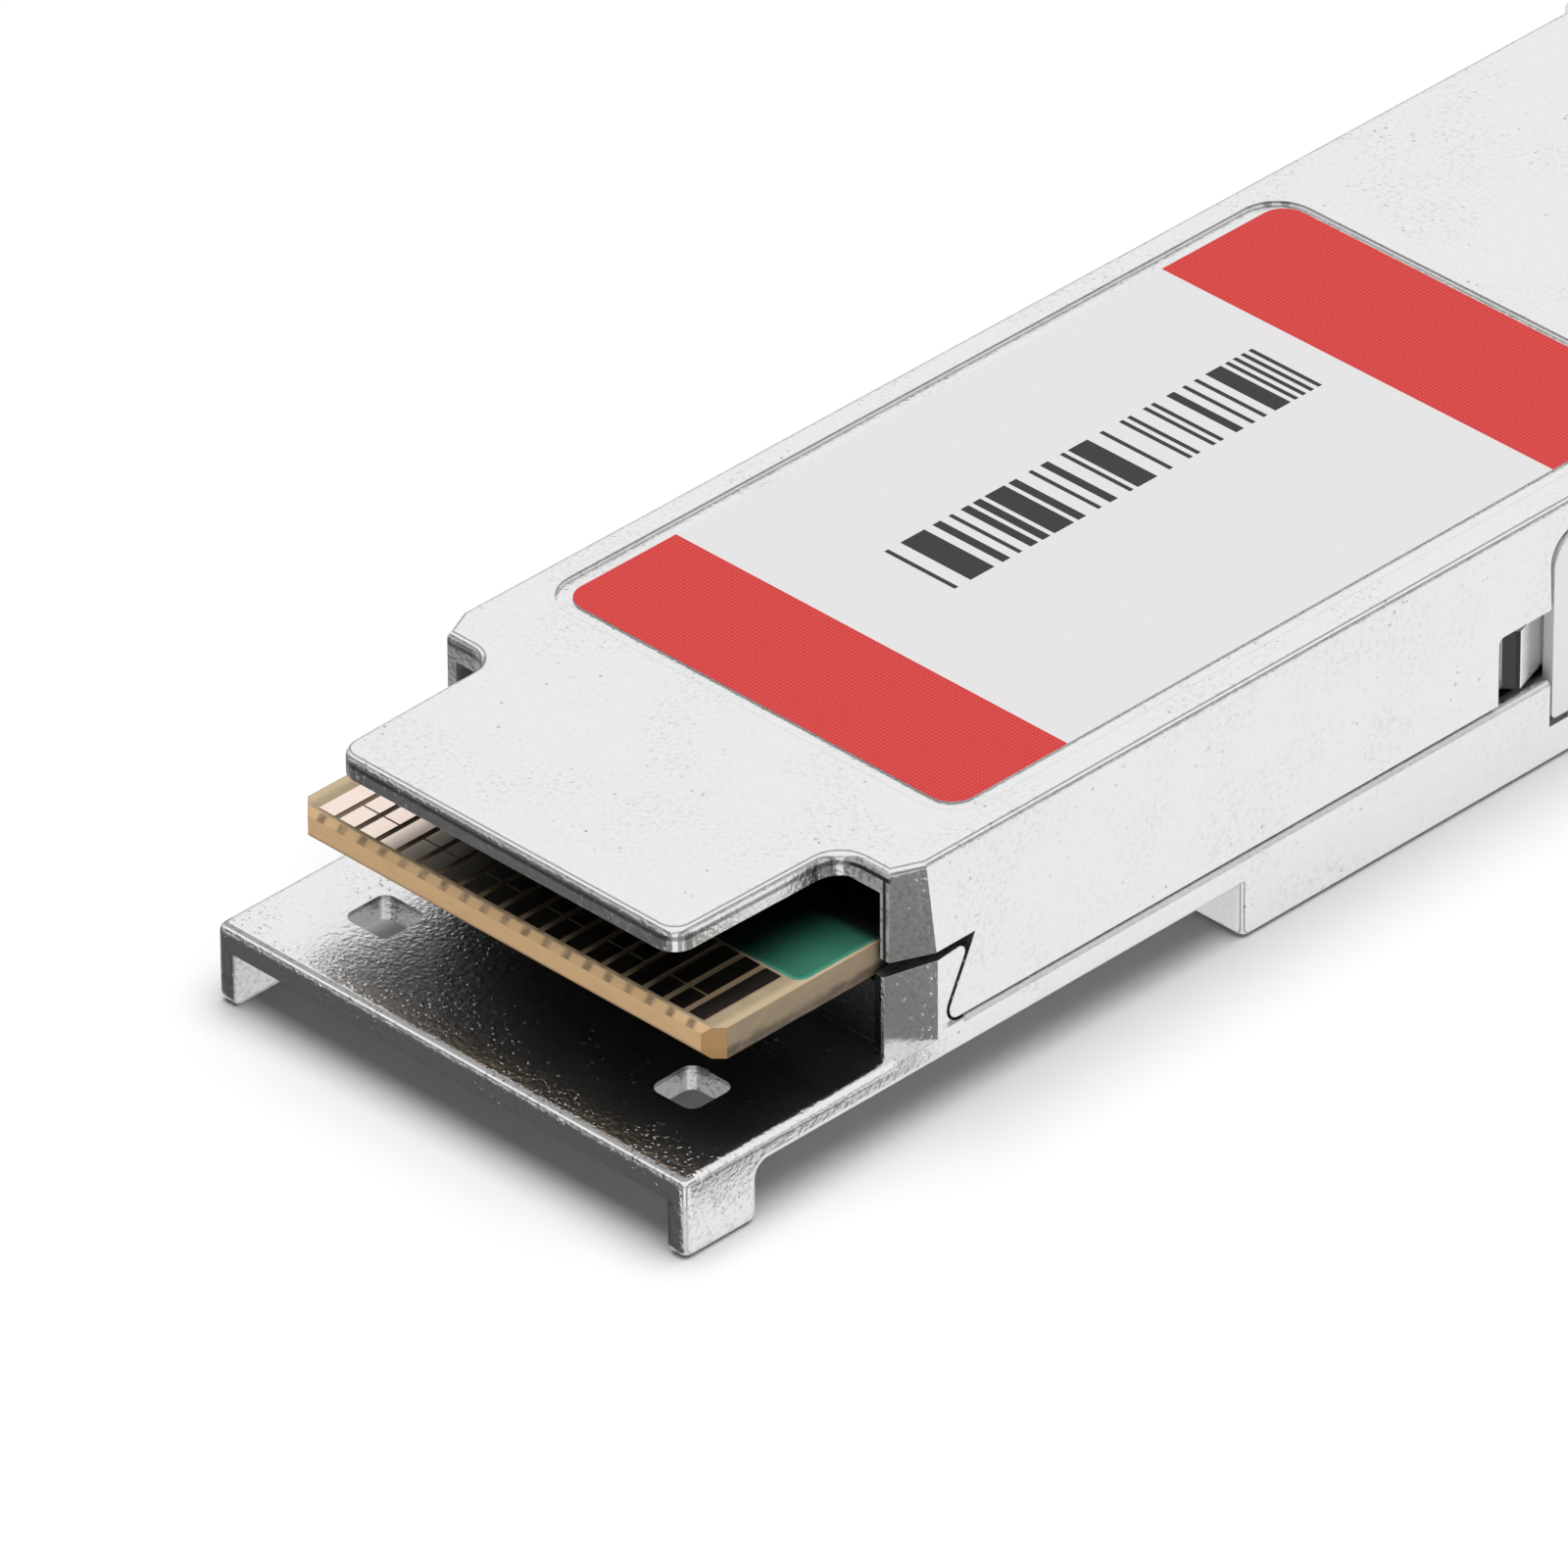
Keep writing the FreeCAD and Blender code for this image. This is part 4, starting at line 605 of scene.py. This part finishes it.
def label_finish(look):
    """Matt film with two screened bands and a row of plain bars."""
    material, g = new_material("label_print")
    low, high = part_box("label")
    place = g.place()
    x, y, _ = g.axes(place)
    bands = g.most(y < low.y + look.front_band, y > high.y - look.rear_band)
    wave = math.sqrt(2) * math.pi / look.screen_pitch
    dots = g.ramp(g.math("SINE", (x + y) * wave) * g.math("SINE", (x - y) * wave), 0.2, 0.6)
    red = g.mix(dots * 0.34, look.band, look.dot)
    column = g.math("FLOOR", y / look.bar_pitch)
    bars = g.node("TexWhiteNoise", {"noise_dimensions": "1D"}, {"W": column}) > 1 - BARS_SHARE
    field_along = g.band(y, *[low.y + end for end in BARS_ALONG], PRINT_SOFT)
    field = g.band(x, *BARS_ACROSS, PRINT_SOFT) * field_along
    film = g.mix(bars * field, look.film, look.ink)
    grain = g.noise(place, 0.12 * MM)
    # The film's cut rim is white: partly the bare film, partly painted light, as it is brighter than the
    # film's top to lift the shade on these thin faces.
    rim = g.math("ABSOLUTE", g.axes(g.facing())[2]) < 0.5
    normal = g.node("NewGeometry", output="Normal")
    lifted = g.node("VectorMath", {"operation": "ADD"}, {0: normal, 1: RIM_LIFT})
    soft = g.node("VectorMath", {"operation": "NORMALIZE"}, {0: lifted})
    g.surface(
        base_color=g.mix(rim, g.mix(bands, film, red), look.rim),
        roughness=0.42 + grain * 0.12,
        normal=g.bump(grain, 0.004 * MM, soft),
        specular_ior_level=0.2)
    return material


class TRANSCEIVER_OT_print_label(bpy.types.Operator):
    """Print the label"""
    bl_idname = "transceiver.print_label"
    bl_label = "Print label"

    def execute(self, context):
        dress(label_finish(settings(context, "label")), "label")
        return {"FINISHED"}


def card_finish(look):
    """Glass laminate with a green solder mask that starts behind the contacts."""
    material, g = new_material("card_laminate")
    low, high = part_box("main_board")
    place = g.place()
    x, y, z = g.axes(place)
    along, level = y - low.y, z - low.z
    inset = high.x - g.math("ABSOLUTE", x)
    across_facing, front_facing, up_facing = g.axes(g.facing())
    sideways = g.math("ABSOLUTE", across_facing)
    flat = up_facing > 0.5

    # The solder mask, with rounded corners and a thin edge.
    ragged = g.noise(place, 0.5 * MM) * MASK_RAGGED
    corner = look.mask_corner
    past_side = g.most(MASK_INSET + corner - inset, 0.0)
    past_front = g.most(look.mask_start + corner - along, 0.0)
    outwards = g.math("SQRT", past_side * past_side + past_front * past_front) + ragged
    mask = (1 - g.ramp(outwards, corner, corner + MASK_SOFT)) * flat
    mask_edge = g.ramp(outwards, *[corner - back for back in MASK_EDGE])
    lit = g.ramp(inset, *[MASK_INSET + back for back in MASK_SHADE])
    lacquer = g.mix(mask_edge * lit, g.mix(lit, look.shade, look.mask), look.mask_edge)

    # The bare board: its front, corners, sides and top.
    weave = g.drawn_noise(place, WEAVE, 4.0)
    glass = g.ramp(weave, 0.4, 0.75)
    blotches = g.ramp(g.drawn_noise(place, BLOTCHES, 3.0), 0.38, 0.68)
    bare = g.mix(g.drawn_noise(place, PLIES) * 0.5, look.laminate, dimmed(look.laminate, 0.62))
    mottled = g.mix(glass * 0.35, bare, look.weave)
    # The front is lighter than the rest of the board: partly the ground edge's own tone, partly painted light
    # on a face that the overhead lamp barely reaches.
    front = g.mix(blotches * 0.25, look.front, dimmed(look.front, 0.78))
    # The front darkens along its bottom edge.
    front_darker_below = g.mix(g.ramp(level, *FRONT_BOTTOM_FADE) * 0.6, front, look.front_bottom)
    top_and_lit_front = g.mix(g.ramp(front_facing, -0.5, -0.9), mottled, front_darker_below)
    at_corner = g.band(sideways, 0.55, 0.85, 0.06) * (front_facing < -0.3)
    cornered = g.mix(at_corner, top_and_lit_front, look.corner)
    # The cut sides darken towards the bottom.
    side = g.mix(g.ramp(level + blotches * 0.06 * MM, *SIDE_BOTTOM_FADE), look.side_low, look.side)
    worn_side = g.mix(blotches * 0.3, side, look.rim)
    cut = g.mix(g.ramp(sideways, 0.6, 0.95) * 0.85, cornered, worn_side)
    rim = g.mix(g.ramp(inset, *RIM_FADE), look.rim, look.margin)
    top = g.mix(glass * 0.2, rim, look.rim_weave)
    first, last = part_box("edge_contacts_top")
    beside = g.band(x, first.x, last.x, 0.02 * MM) * g.band(y, first.y, last.y, 0.05 * MM)
    bare_top = g.mix(beside * flat, g.mix(up_facing > 0.9, cut, top), look.gaps)
    # Painted shade: the board's lower face and its part inside the housing are painted near black for the
    # shade they lie in.
    painted_shade_below_and_inside = g.most(up_facing < -0.5, g.ramp(along, *HIDDEN_FADE))
    g.surface(
        base_color=g.mix(painted_shade_below_and_inside, g.mix(mask, bare_top, lacquer), look.under),
        roughness=0.55 - mask * 0.27,
        normal=g.bump(mask + weave * 0.3, 0.015 * MM, g.edges(0.1 * MM)),
        specular_ior_level=0.4)
    return material


class TRANSCEIVER_OT_finish_card(bpy.types.Operator):
    """Give the board its laminate and its solder mask"""
    bl_idname = "transceiver.finish_card"
    bl_label = "Finish card"

    def execute(self, context):
        dress(card_finish(settings(context, "card")), "main_board")
        return {"FINISHED"}


def contact_finish(name, tone, roughness):
    """Soft gold plate with fine wiping marks along the contacts."""
    material, g = new_material(name)
    place = g.place()
    marks = g.drawn_noise(place, WIPE_MARKS, 3.0)
    cloud = g.noise(place, 0.9 * MM)
    g.surface(
        base_color=g.mix(cloud * 0.4, tone, dimmed(tone, 0.86)),
        roughness=roughness + marks * 0.06,
        metallic=1.0,
        normal=g.bump(marks, 0.0004 * MM))
    return material


class TRANSCEIVER_OT_plate_contacts(bpy.types.Operator):
    """Plate the contacts of the card edge"""
    bl_idname = "transceiver.plate_contacts"
    bl_label = "Plate contacts"

    def execute(self, context):
        look = settings(context, "card")
        dress(contact_finish("contact_gold", look.gold, 0.22), "edge_contacts_top")
        # Painted shade: the contacts on the lower face get a dark grey in place of gold, for the shade under
        # the card.
        dress(contact_finish("contact_gold_shaded", look.shaded_lower_gold, 0.4), "edge_contacts_bottom")
        return {"FINISHED"}


def select_only(*objects):
    """Selects these objects and makes the first one active."""
    bpy.ops.object.select_all(action="DESELECT")
    for item in objects:
        item.select_set(True)
    bpy.context.view_layer.objects.active = objects[0]


def add_bar(name, size, centre, tilt, bevel):
    """A bar with broken edges, tilted about X, with its place in its mesh."""
    bpy.ops.object.select_all(action="DESELECT")
    bpy.ops.mesh.primitive_cube_add(size=1.0, location=centre, rotation=(tilt, 0, 0))
    bar = bpy.context.object
    bar.name = name
    bar.scale = size
    bpy.ops.object.transform_apply(location=False, rotation=False, scale=True)
    bpy.ops.object.mode_set(mode="EDIT")
    bpy.ops.mesh.select_all(action="SELECT")
    bpy.ops.mesh.bevel(offset=bevel, segments=1, affect="EDGES")
    bpy.ops.object.mode_set(mode="OBJECT")
    bpy.ops.object.transform_apply(location=True, rotation=True, scale=True)
    return bar


def copies(item, shifts):
    """Copies a piece along a list of shifts and joins the copies into one mesh."""
    made = []
    for shift in shifts:
        select_only(item)
        bpy.ops.object.duplicate()
        copy = bpy.context.object
        copy.location = shift
        made.append(copy)
    bpy.data.objects.remove(item)
    select_only(*made)
    bpy.ops.object.join()
    bpy.ops.object.transform_apply(location=True, rotation=True, scale=True)
    return bpy.context.object


def contact_places():
    """The middles of the contact strips across the card."""
    low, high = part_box("edge_contacts_top")
    middle = (low.x + high.x) / 2
    return [middle + (i - (CONTACT_COUNT - 1) / 2) * CONTACT_PITCH for i in range(CONTACT_COUNT)]


def tie_bar_finish(look):
    """Cut copper strips, darkened, that fade into the bevel."""
    material, g = new_material("tie_bar_copper")
    place = g.place()
    spots = g.noise(place, 0.3 * MM, 1.0)
    from_middle = g.math("PINGPONG", g.axes(place)[0] - contact_places()[0], CONTACT_PITCH / 2)
    strip = (1 - g.ramp(from_middle, *STRIP_FADE)) * (0.45 + g.ramp(spots, 0.7, 0.3) * 0.55)
    g.surface(base_color=g.mix(strip, look.bevel_tone, look.tie_bar),
              roughness=0.5 + spots * 0.2)
    return material


class TRANSCEIVER_OT_add_tie_bars(bpy.types.Operator):
    """Add the cut plating strips on the bevel of the card's front edge"""
    bl_idname = "transceiver.add_tie_bars"
    bl_label = "Add tie bars"

    def execute(self, context):
        look = settings(context, "card")
        low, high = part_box("main_board")
        slant = look.bevel * math.sqrt(2)
        size = (look.tie_bar_width, slant * TIE_BAR_SHARE, TIE_BAR_THICK)
        centre = Vector((0, low.y + look.bevel / 2, high.z - look.bevel / 2))
        bar = add_bar("tie_bars", size, centre, math.radians(45), TIE_BAR_THICK / 4)
        bars = copies(bar, [(place, 0, 0) for place in contact_places()])
        bars.name = "tie_bars"
        bars.data.materials.append(tie_bar_finish(look))
        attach(bars, "housing")
        return {"FINISHED"}


def epoxy_finish(name, tone, roughness=0.55):
    """Moulded compound with a fine grain and soft edges."""
    material, g = new_material(name)
    place = g.place()
    grain = g.noise(place, 0.07 * MM, 3.0)
    cloud = g.noise(place, 1.2 * MM)
    g.surface(base_color=g.mix(cloud * 0.5, tone, dimmed(tone, 1.5)),
              roughness=roughness + grain * 0.2,
              normal=g.bump(grain, 0.006 * MM, g.edges(0.05 * MM)))
    return material


def ceramic_finish(name, tone):
    """Ground or fired ceramic with faint speckles."""
    material, g = new_material(name)
    speck = g.noise(g.place(), 0.15 * MM, 3.0)
    g.surface(base_color=g.mix(speck * 0.3, tone, dimmed(tone, 0.8)),
              roughness=0.22 + speck * 0.15, coat_weight=0.2)
    return material


def capacitor_finish(look):
    """Brown fired bodies with tinned ends."""
    material, g = new_material("capacitor_ceramic")
    place = g.place()
    _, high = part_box("capacitors")
    across = g.math("ABSOLUTE", g.axes(place)[0])
    inner_end = across < high.x - CAPACITOR_LENGTH + CAPACITOR_END
    ends = g.most(inner_end, across > high.x - CAPACITOR_END)
    body = g.mix(g.noise(place, 0.1 * MM), look.fired, look.fired_light)
    g.surface(base_color=g.mix(ends, body, look.tin),
              roughness=0.45 - ends * 0.15, metallic=ends,
              normal=g.edges(0.04 * MM))
    return material


class TRANSCEIVER_OT_finish_board_parts(bpy.types.Operator):
    """Finish the chips, the inductors, the capacitors and the gap filler"""
    bl_idname = "transceiver.finish_board_parts"
    bl_label = "Finish board parts"

    def execute(self, context):
        look = settings(context, "inner")
        dress(epoxy_finish("chip_epoxy", look.epoxy), "signal_processor", "microcontroller",
              "laser_driver", "receiver_amplifier")
        dress(epoxy_finish("inductor_powder", look.powder, 0.65), "power_inductors")
        dress(epoxy_finish("gap_filler", look.filler, 0.75), "thermal_pad")
        dress(capacitor_finish(look), "capacitors")
        return {"FINISHED"}


def turned_finish(name, tone):
    """Turned steel with fine tool marks round the axis along Y."""
    material, g = new_material(name)
    place = g.place()
    marks = g.drawn_noise(place, TOOL_MARKS)
    cloud = g.noise(place, 1.5 * MM)
    g.surface(base_color=g.mix(cloud * 0.4, tone, dimmed(tone, 0.8)),
              roughness=0.24 + marks * 0.16, metallic=1.0,
              normal=g.bump(marks, 0.004 * MM, g.edges(0.06 * MM)))
    return material


def flex_finish(look):
    """Amber film with copper tracks under it."""
    material, g = new_material("flex_film")
    place = g.place()
    tracks = g.ramp(g.math("SINE", g.axes(place)[0] * (2 * math.pi / TRACK_PITCH)), 0.1, 0.4)
    g.surface(base_color=g.mix(tracks * 0.6, look.flex, look.tracks),
              roughness=0.3 + g.noise(place, 0.5 * MM) * 0.1, coat_weight=0.3)
    return material


class TRANSCEIVER_OT_finish_optics(bpy.types.Operator):
    """Finish the optical assemblies with their sleeves, stubs, clamp and flexible circuits"""
    bl_idname = "transceiver.finish_optics"
    bl_label = "Finish optics"

    def execute(self, context):
        look = settings(context, "inner")
        dress(turned_finish("turned_steel", look.steel), "optics_clamp",
              *[f"optical_assembly_{side}" for side in SIDES])
        dress(ceramic_finish("ground_ceramic", look.ceramic),
              *[f"{part}_{side}" for part in ("alignment_sleeve", "fibre_stub") for side in SIDES])
        dress(flex_finish(look), *[f"flex_circuit_{side}" for side in SIDES])
        return {"FINISHED"}


class TRANSCEIVER_OT_mould_port(bpy.types.Operator):
    """Finish the moulded port block"""
    bl_idname = "transceiver.mould_port"
    bl_label = "Mould port"

    def execute(self, context):
        dress(epoxy_finish("port_plastic", settings(context, "inner").port, 0.42), "port_receptacle")
        return {"FINISHED"}


def sheet_finish(name, look, formed):
    """Bright sheet with rolling lines along the part and, where it is formed, painted shade on the latch
    tips' front slopes and matt pale cut edges near the tips, partly their own finish and partly painted
    light.
    """
    material, g = new_material(name)
    place = g.place()
    lines = g.drawn_noise(place, ROLL_LINES, 3.0)
    cloud = g.noise(place, 2.0 * MM)
    bright = g.mix(cloud * 0.3, look.sheet, dimmed(look.sheet, 0.85))
    rolled = 0.16 + lines * 0.14
    relief = g.bump(lines, 0.004 * MM, g.edges(0.1 * MM))
    if not formed:
        g.surface(base_color=bright, roughness=rolled, metallic=1.0, normal=relief)
        return material
    low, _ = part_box("release_slide")
    across, along, _ = g.axes(g.facing())
    sideways = g.math("ABSOLUTE", across)
    # Painted shade: the front slopes of the latch tips are painted near black for the shade in their pockets.
    sloped = g.ramp(along, -0.04, -0.12) * g.ramp(sideways, 0.5, 0.7)
    # The cut edges near the latch tips are matt and pale: partly their own finish, partly painted light on
    # narrow faces that lie in shade.
    sheared = (1 - g.ramp(sideways, 0.2, 0.5)) * (g.axes(place)[1] < low.y + SHEARED_LENGTH)
    g.surface(base_color=g.mix(sloped, g.mix(sheared, bright, look.sheared), look.painted_slope_shade),
              roughness=rolled + sheared * 0.35, metallic=1 - sheared, normal=relief)
    return material


class TRANSCEIVER_OT_finish_slide(bpy.types.Operator):
    """Finish the release slide and the shielding collar"""
    bl_idname = "transceiver.finish_slide"
    bl_label = "Finish slide and collar"

    def execute(self, context):
        look = settings(context, "moving")
        dress(sheet_finish("formed_sheet", look, True), "release_slide")
        dress(sheet_finish("bright_sheet", look, False), "shield_collar")
        return {"FINISHED"}


def wind_spring(name, node, look):
    """A round-wire coil with closed ends in the place of a packed spring."""
    low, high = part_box(node)
    middle = (low + high) / 2
    wire = look.wire / 2
    radius = (high.z - low.z) / 2 - wire
    run = high.y - low.y - 2 * look.wire
    bpy.ops.object.select_all(action="DESELECT")
    bpy.ops.mesh.primitive_circle_add(vertices=WIRE_SIDES, radius=wire, location=(radius, 0, 0))
    coil = bpy.context.object
    coil.name = name
    bpy.ops.object.transform_apply(location=True, rotation=True, scale=True)
    screw = coil.modifiers.new("coil", "SCREW")
    screw.axis = "Y"
    screw.steps = screw.render_steps = COIL_STEPS
    screw.iterations = look.turns
    screw.screw_offset = run / look.turns
    bpy.ops.object.modifier_apply(modifier=screw.name)
    bpy.ops.object.mode_set(mode="EDIT")
    bpy.ops.mesh.select_mode(type="EDGE")
    bpy.ops.mesh.select_all(action="DESELECT")
    bpy.ops.mesh.select_non_manifold()
    bpy.ops.mesh.fill()
    bpy.ops.mesh.select_all(action="SELECT")
    bpy.ops.mesh.normals_make_consistent(inside=False)
    bpy.ops.object.mode_set(mode="OBJECT")
    pieces = [coil]
    for end in (0.0, run):
        bpy.ops.object.select_all(action="DESELECT")
        bpy.ops.mesh.primitive_torus_add(
            major_segments=COIL_STEPS, minor_segments=WIRE_SIDES, major_radius=radius, minor_radius=wire,
            location=(0, end, 0), rotation=(math.pi / 2, 0, 0))
        pieces.append(bpy.context.object)
    select_only(*pieces)
    bpy.ops.object.join()
    bpy.ops.object.shade_smooth_by_angle(angle=COIL_SMOOTH)
    coil.location = (middle.x, low.y + look.wire, middle.z)
    bpy.ops.object.transform_apply(location=True, rotation=True, scale=True)
    return coil


class TRANSCEIVER_OT_wind_springs(bpy.types.Operator):
    """Wind the two return springs"""
    bl_idname = "transceiver.wind_springs"
    bl_label = "Wind springs"

    def execute(self, context):
        look = settings(context, "moving")
        steel = turned_finish("spring_wire", settings(context, "inner").steel)
        joint = next(joint for joint in frame["joints"] if joint["name"] == "release_travel")
        travel = joint["range_m"][1]
        for side in SIDES:
            node = f"return_spring_{side}"
            low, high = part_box(node)
            spring = wind_spring(f"coil_spring_{side}", node, look)
            spring.data.materials.append(steel)
            dress(steel, node)
            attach(spring, "housing")
            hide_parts(node)
            rest = high.y - low.y
            (rest - travel) / rest
            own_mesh(spring)
        return {"FINISHED"}


class TRANSCEIVER_OT_mould_tab(bpy.types.Operator):
    """Finish the pull tab"""
    bl_idname = "transceiver.mould_tab"
    bl_label = "Mould pull tab"

    def execute(self, context):
        material, g = new_material("tab_plastic")
        place = g.place()
        tone = settings(context, "moving").plastic
        grain = g.noise(place, 0.16 * MM, 4.0)
        cloud = g.noise(place, 6 * MM)
        g.surface(base_color=g.mix(cloud * 0.4, tone, dimmed(tone, 0.88)),
                  roughness=0.48 + grain * 0.2,
                  normal=g.bump(grain, 0.012 * MM, g.edges(0.3 * MM)))
        dress(material, "pull_tab")
        return {"FINISHED"}


class TRANSCEIVER_OT_finish_screws(bpy.types.Operator):
    """Finish the case screws"""
    bl_idname = "transceiver.finish_screws"
    bl_label = "Finish screws"

    def execute(self, context):
        material, g = new_material("screw_steel")
        place = g.place()
        tone = settings(context, "inner").steel
        wear = g.noise(place, 0.3 * MM, 4.0)
        g.surface(base_color=g.mix(wear * 0.5, tone, dimmed(tone, 0.6)),
                  roughness=0.28 + wear * 0.2, metallic=1.0,
                  normal=g.bump(wear, 0.008 * MM, g.edges(0.08 * MM)))
        dress(material, "case_screws")
        return {"FINISHED"}


def rays(g):
    """Which rays look straight at a surface, and which see it in a mirror, before any matt bounce."""
    path = g.node("LightPath").socket.node.outputs
    straight = g.most(Wire(g, path["Is Camera Ray"]), Wire(g, path["Is Transmission Ray"]))
    first = Wire(g, path["Diffuse Depth"]) < 0.5
    return straight * first, Wire(g, path["Is Glossy Ray"]) * first


def add_floor(look):
    """The white table, which takes the shadow."""
    bpy.ops.object.select_all(action="DESELECT")
    bpy.ops.mesh.primitive_plane_add(size=TABLE_SIZE, location=(0, 0, -TABLE_DROP))
    floor = bpy.context.object
    floor.name = "table"
    material, g = new_material("table_white")
    straight, mirrored = rays(g)
    matt = g.node("BsdfDiffuse", inputs={"Color": (*look.floor, 1)})
    lift = g.node("Emission", inputs={"Strength": straight * look.lift})
    both = g.node("AddShader", inputs={0: matt, 1: lift})
    white = g.node("Emission", inputs={"Strength": look.mirrored})
    shown = g.node("MixShader", inputs={0: mirrored * TABLE_MIRRORED, 1: both, 2: white})
    g.node("OutputMaterial", inputs={"Surface": shown})
    floor.data.materials.append(material)


def add_world(look):
    """A white tent with an open front and a dark gap above the table, both seen only in mirrors."""
    world = bpy.data.worlds.new("white_tent")
    world.use_nodes = True
    bpy.context.scene.world = world
    g = Graph(world.node_tree)
    _, y, z = g.axes(g.node("TexCoord", output="Generated"))
    gap = (1 - g.ramp(g.math("ABSOLUTE", z), *GAP_FADE)) * look.gap
    front = (1 - g.ramp(y, *FRONT_FADE)) * (1 - g.ramp(z, *FRONT_TOP_FADE)) * look.open_front
    tent = 1 - g.most(gap, front)
    straight, mirrored = rays(g)
    soft = g.ramp(z, *SKY_FADE) * look.ambient
    strength = soft + straight * (1 - soft) + mirrored * (tent - soft)
    sky = g.node("Background", inputs={"Color": (1, 1, 1, 1), "Strength": strength})
    g.node("OutputWorld", inputs={"Surface": sky})


def add_lamp(look):
    """The large soft lamp above the object."""
    bpy.ops.object.select_all(action="DESELECT")
    bpy.ops.object.light_add(type="SUN")
    lamp = bpy.context.object
    lamp.name = "overhead_lamp"
    lamp.data.energy = look.overhead
    lamp.data.angle = look.spread
    lamp.rotation_mode = "QUATERNION"
    lamp.rotation_quaternion = Vector(LAMP_FROM).to_track_quat("Z", "Y")
    lamp.visible_glossy = False


def add_flag(name, low, high, brightness):
    """A card on the table that only mirrors see."""
    bpy.ops.object.select_all(action="DESELECT")
    bpy.ops.mesh.primitive_plane_add(size=1.0)
    flag = bpy.context.object
    flag.name = name
    flag.scale = (high[0] - low[0], high[1] - low[1], 1)
    flag.location = ((low[0] + high[0]) / 2, (low[1] + high[1]) / 2, -FLAG_DROP)
    bpy.ops.object.transform_apply(location=True, rotation=True, scale=True)
    material, g = new_material(name)
    g.node("OutputMaterial", inputs={"Surface": g.node("Emission", inputs={"Strength": brightness})})
    flag.data.materials.append(material)
    flag.visible_camera = flag.visible_diffuse = flag.visible_shadow = flag.visible_transmission = False


def add_camera():
    """The photograph's viewpoint: its angles in degrees, its focal length in pixels and its place in mm."""
    azimuth, elevation, roll = (math.radians(angle) for angle in (44.8989, 33.4159, -0.2969))
    focal_pixels = 20338.98
    shift = Vector((-9.2064, -9.4935, -547.6954))
    card_end = -59.0
    right = Vector((math.cos(azimuth), math.sin(azimuth), 0))
    back = Vector((math.sin(azimuth) * math.cos(elevation), -math.cos(azimuth) * math.cos(elevation),
                   math.sin(elevation)))
    up = back.cross(right)
    turn = Matrix.Rotation(-roll, 2)
    right, up = (right * turn[0][0] + up * turn[0][1], right * turn[1][0] + up * turn[1][1])
    axes = Matrix((right, up, back)).transposed()
    place = axes @ -shift + Vector((0, card_end, 0))
    bpy.ops.object.select_all(action="DESELECT")
    bpy.ops.object.camera_add()
    camera = bpy.context.object
    camera.name = "photo_camera"
    camera.data.sensor_width = SENSOR_WIDTH
    camera.data.lens = focal_pixels / IMAGE_PIXELS * SENSOR_WIDTH
    camera.data.clip_start, camera.data.clip_end = 0.01, 20.0
    camera.matrix_world = Matrix.Translation(place * MM) @ axes.to_4x4()
    bpy.context.scene.camera = camera


class TRANSCEIVER_OT_set_stage(bpy.types.Operator):
    """Set the table, the light and the camera"""
    bl_idname = "transceiver.set_stage"
    bl_label = "Set stage"

    def execute(self, context):
        look = settings(context, "studio")
        context.scene.view_settings.view_transform = "Standard"
        add_floor(look)
        add_world(look)
        add_lamp(look)
        low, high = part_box("bottom_shell")
        flag_end = low.y + SIDE_FLAG_END
        add_flag("front_flag", (low.x - FLAG_REACH, low.y - FLAG_REACH), (high.x, low.y), look.front_flag)
        add_flag("right_flag", (high.x + RIGHT_FLAG_GAP, low.y + RIGHT_FLAG_START),
                 (high.x + FLAG_REACH, flag_end), look.side_flag)
        add_flag("left_flag", (low.x - FLAG_REACH, low.y), (low.x - LEFT_FLAG_GAP, flag_end),
                 2 * look.side_flag)
        add_camera()
        return {"FINISHED"}


GROUPS = {
    "casting": CastingSettings,
    "label": LabelSettings,
    "card": CardSettings,
    "moving": MovingSettings,
    "inner": InnerSettings,
    "studio": StudioSettings,
}

STEPS = (
    TRANSCEIVER_OT_plate_castings,
    TRANSCEIVER_OT_print_label,
    TRANSCEIVER_OT_finish_card,
    TRANSCEIVER_OT_plate_contacts,
    TRANSCEIVER_OT_add_tie_bars,
    TRANSCEIVER_OT_finish_board_parts,
    TRANSCEIVER_OT_finish_optics,
    TRANSCEIVER_OT_mould_port,
    TRANSCEIVER_OT_finish_slide,
    TRANSCEIVER_OT_wind_springs,
    TRANSCEIVER_OT_mould_tab,
    TRANSCEIVER_OT_finish_screws,
    TRANSCEIVER_OT_set_stage,
)


class TRANSCEIVER_PT_finish(bpy.types.Panel):
    """Lists the steps that dress the module and their settings"""
    bl_label = "Transceiver"
    bl_idname = "TRANSCEIVER_PT_finish"
    bl_space_type = "VIEW_3D"
    bl_region_type = "UI"
    bl_category = "Transceiver"

    def draw(self, context):
        for step in STEPS:
            self.layout.operator(step.bl_idname)
        for kind, group in GROUPS.items():
            box = self.layout.box()
            for name in group.__annotations__:
                box.prop(settings(context, kind), name)


def register():
    """Adds the classes and the scene's settings."""
    for item in (*GROUPS.values(), *STEPS, TRANSCEIVER_PT_finish):
        bpy.utils.register_class(item)
    for kind, group in GROUPS.items():
        setattr(bpy.types.Scene, f"transceiver_{kind}", bpy.props.PointerProperty(type=group))


def unregister():
    """Takes the scene's settings and the classes away again."""
    for kind in GROUPS:
        delattr(bpy.types.Scene, f"transceiver_{kind}")
    for item in (TRANSCEIVER_PT_finish, *reversed(STEPS), *GROUPS.values()):
        bpy.utils.unregister_class(item)


def main():
    """Dresses the module step by step."""
    register()
    for step in STEPS:
        group, name = step.bl_idname.split(".")
        getattr(getattr(bpy.ops, group), name)()


if __name__ == "__main__":
    main()
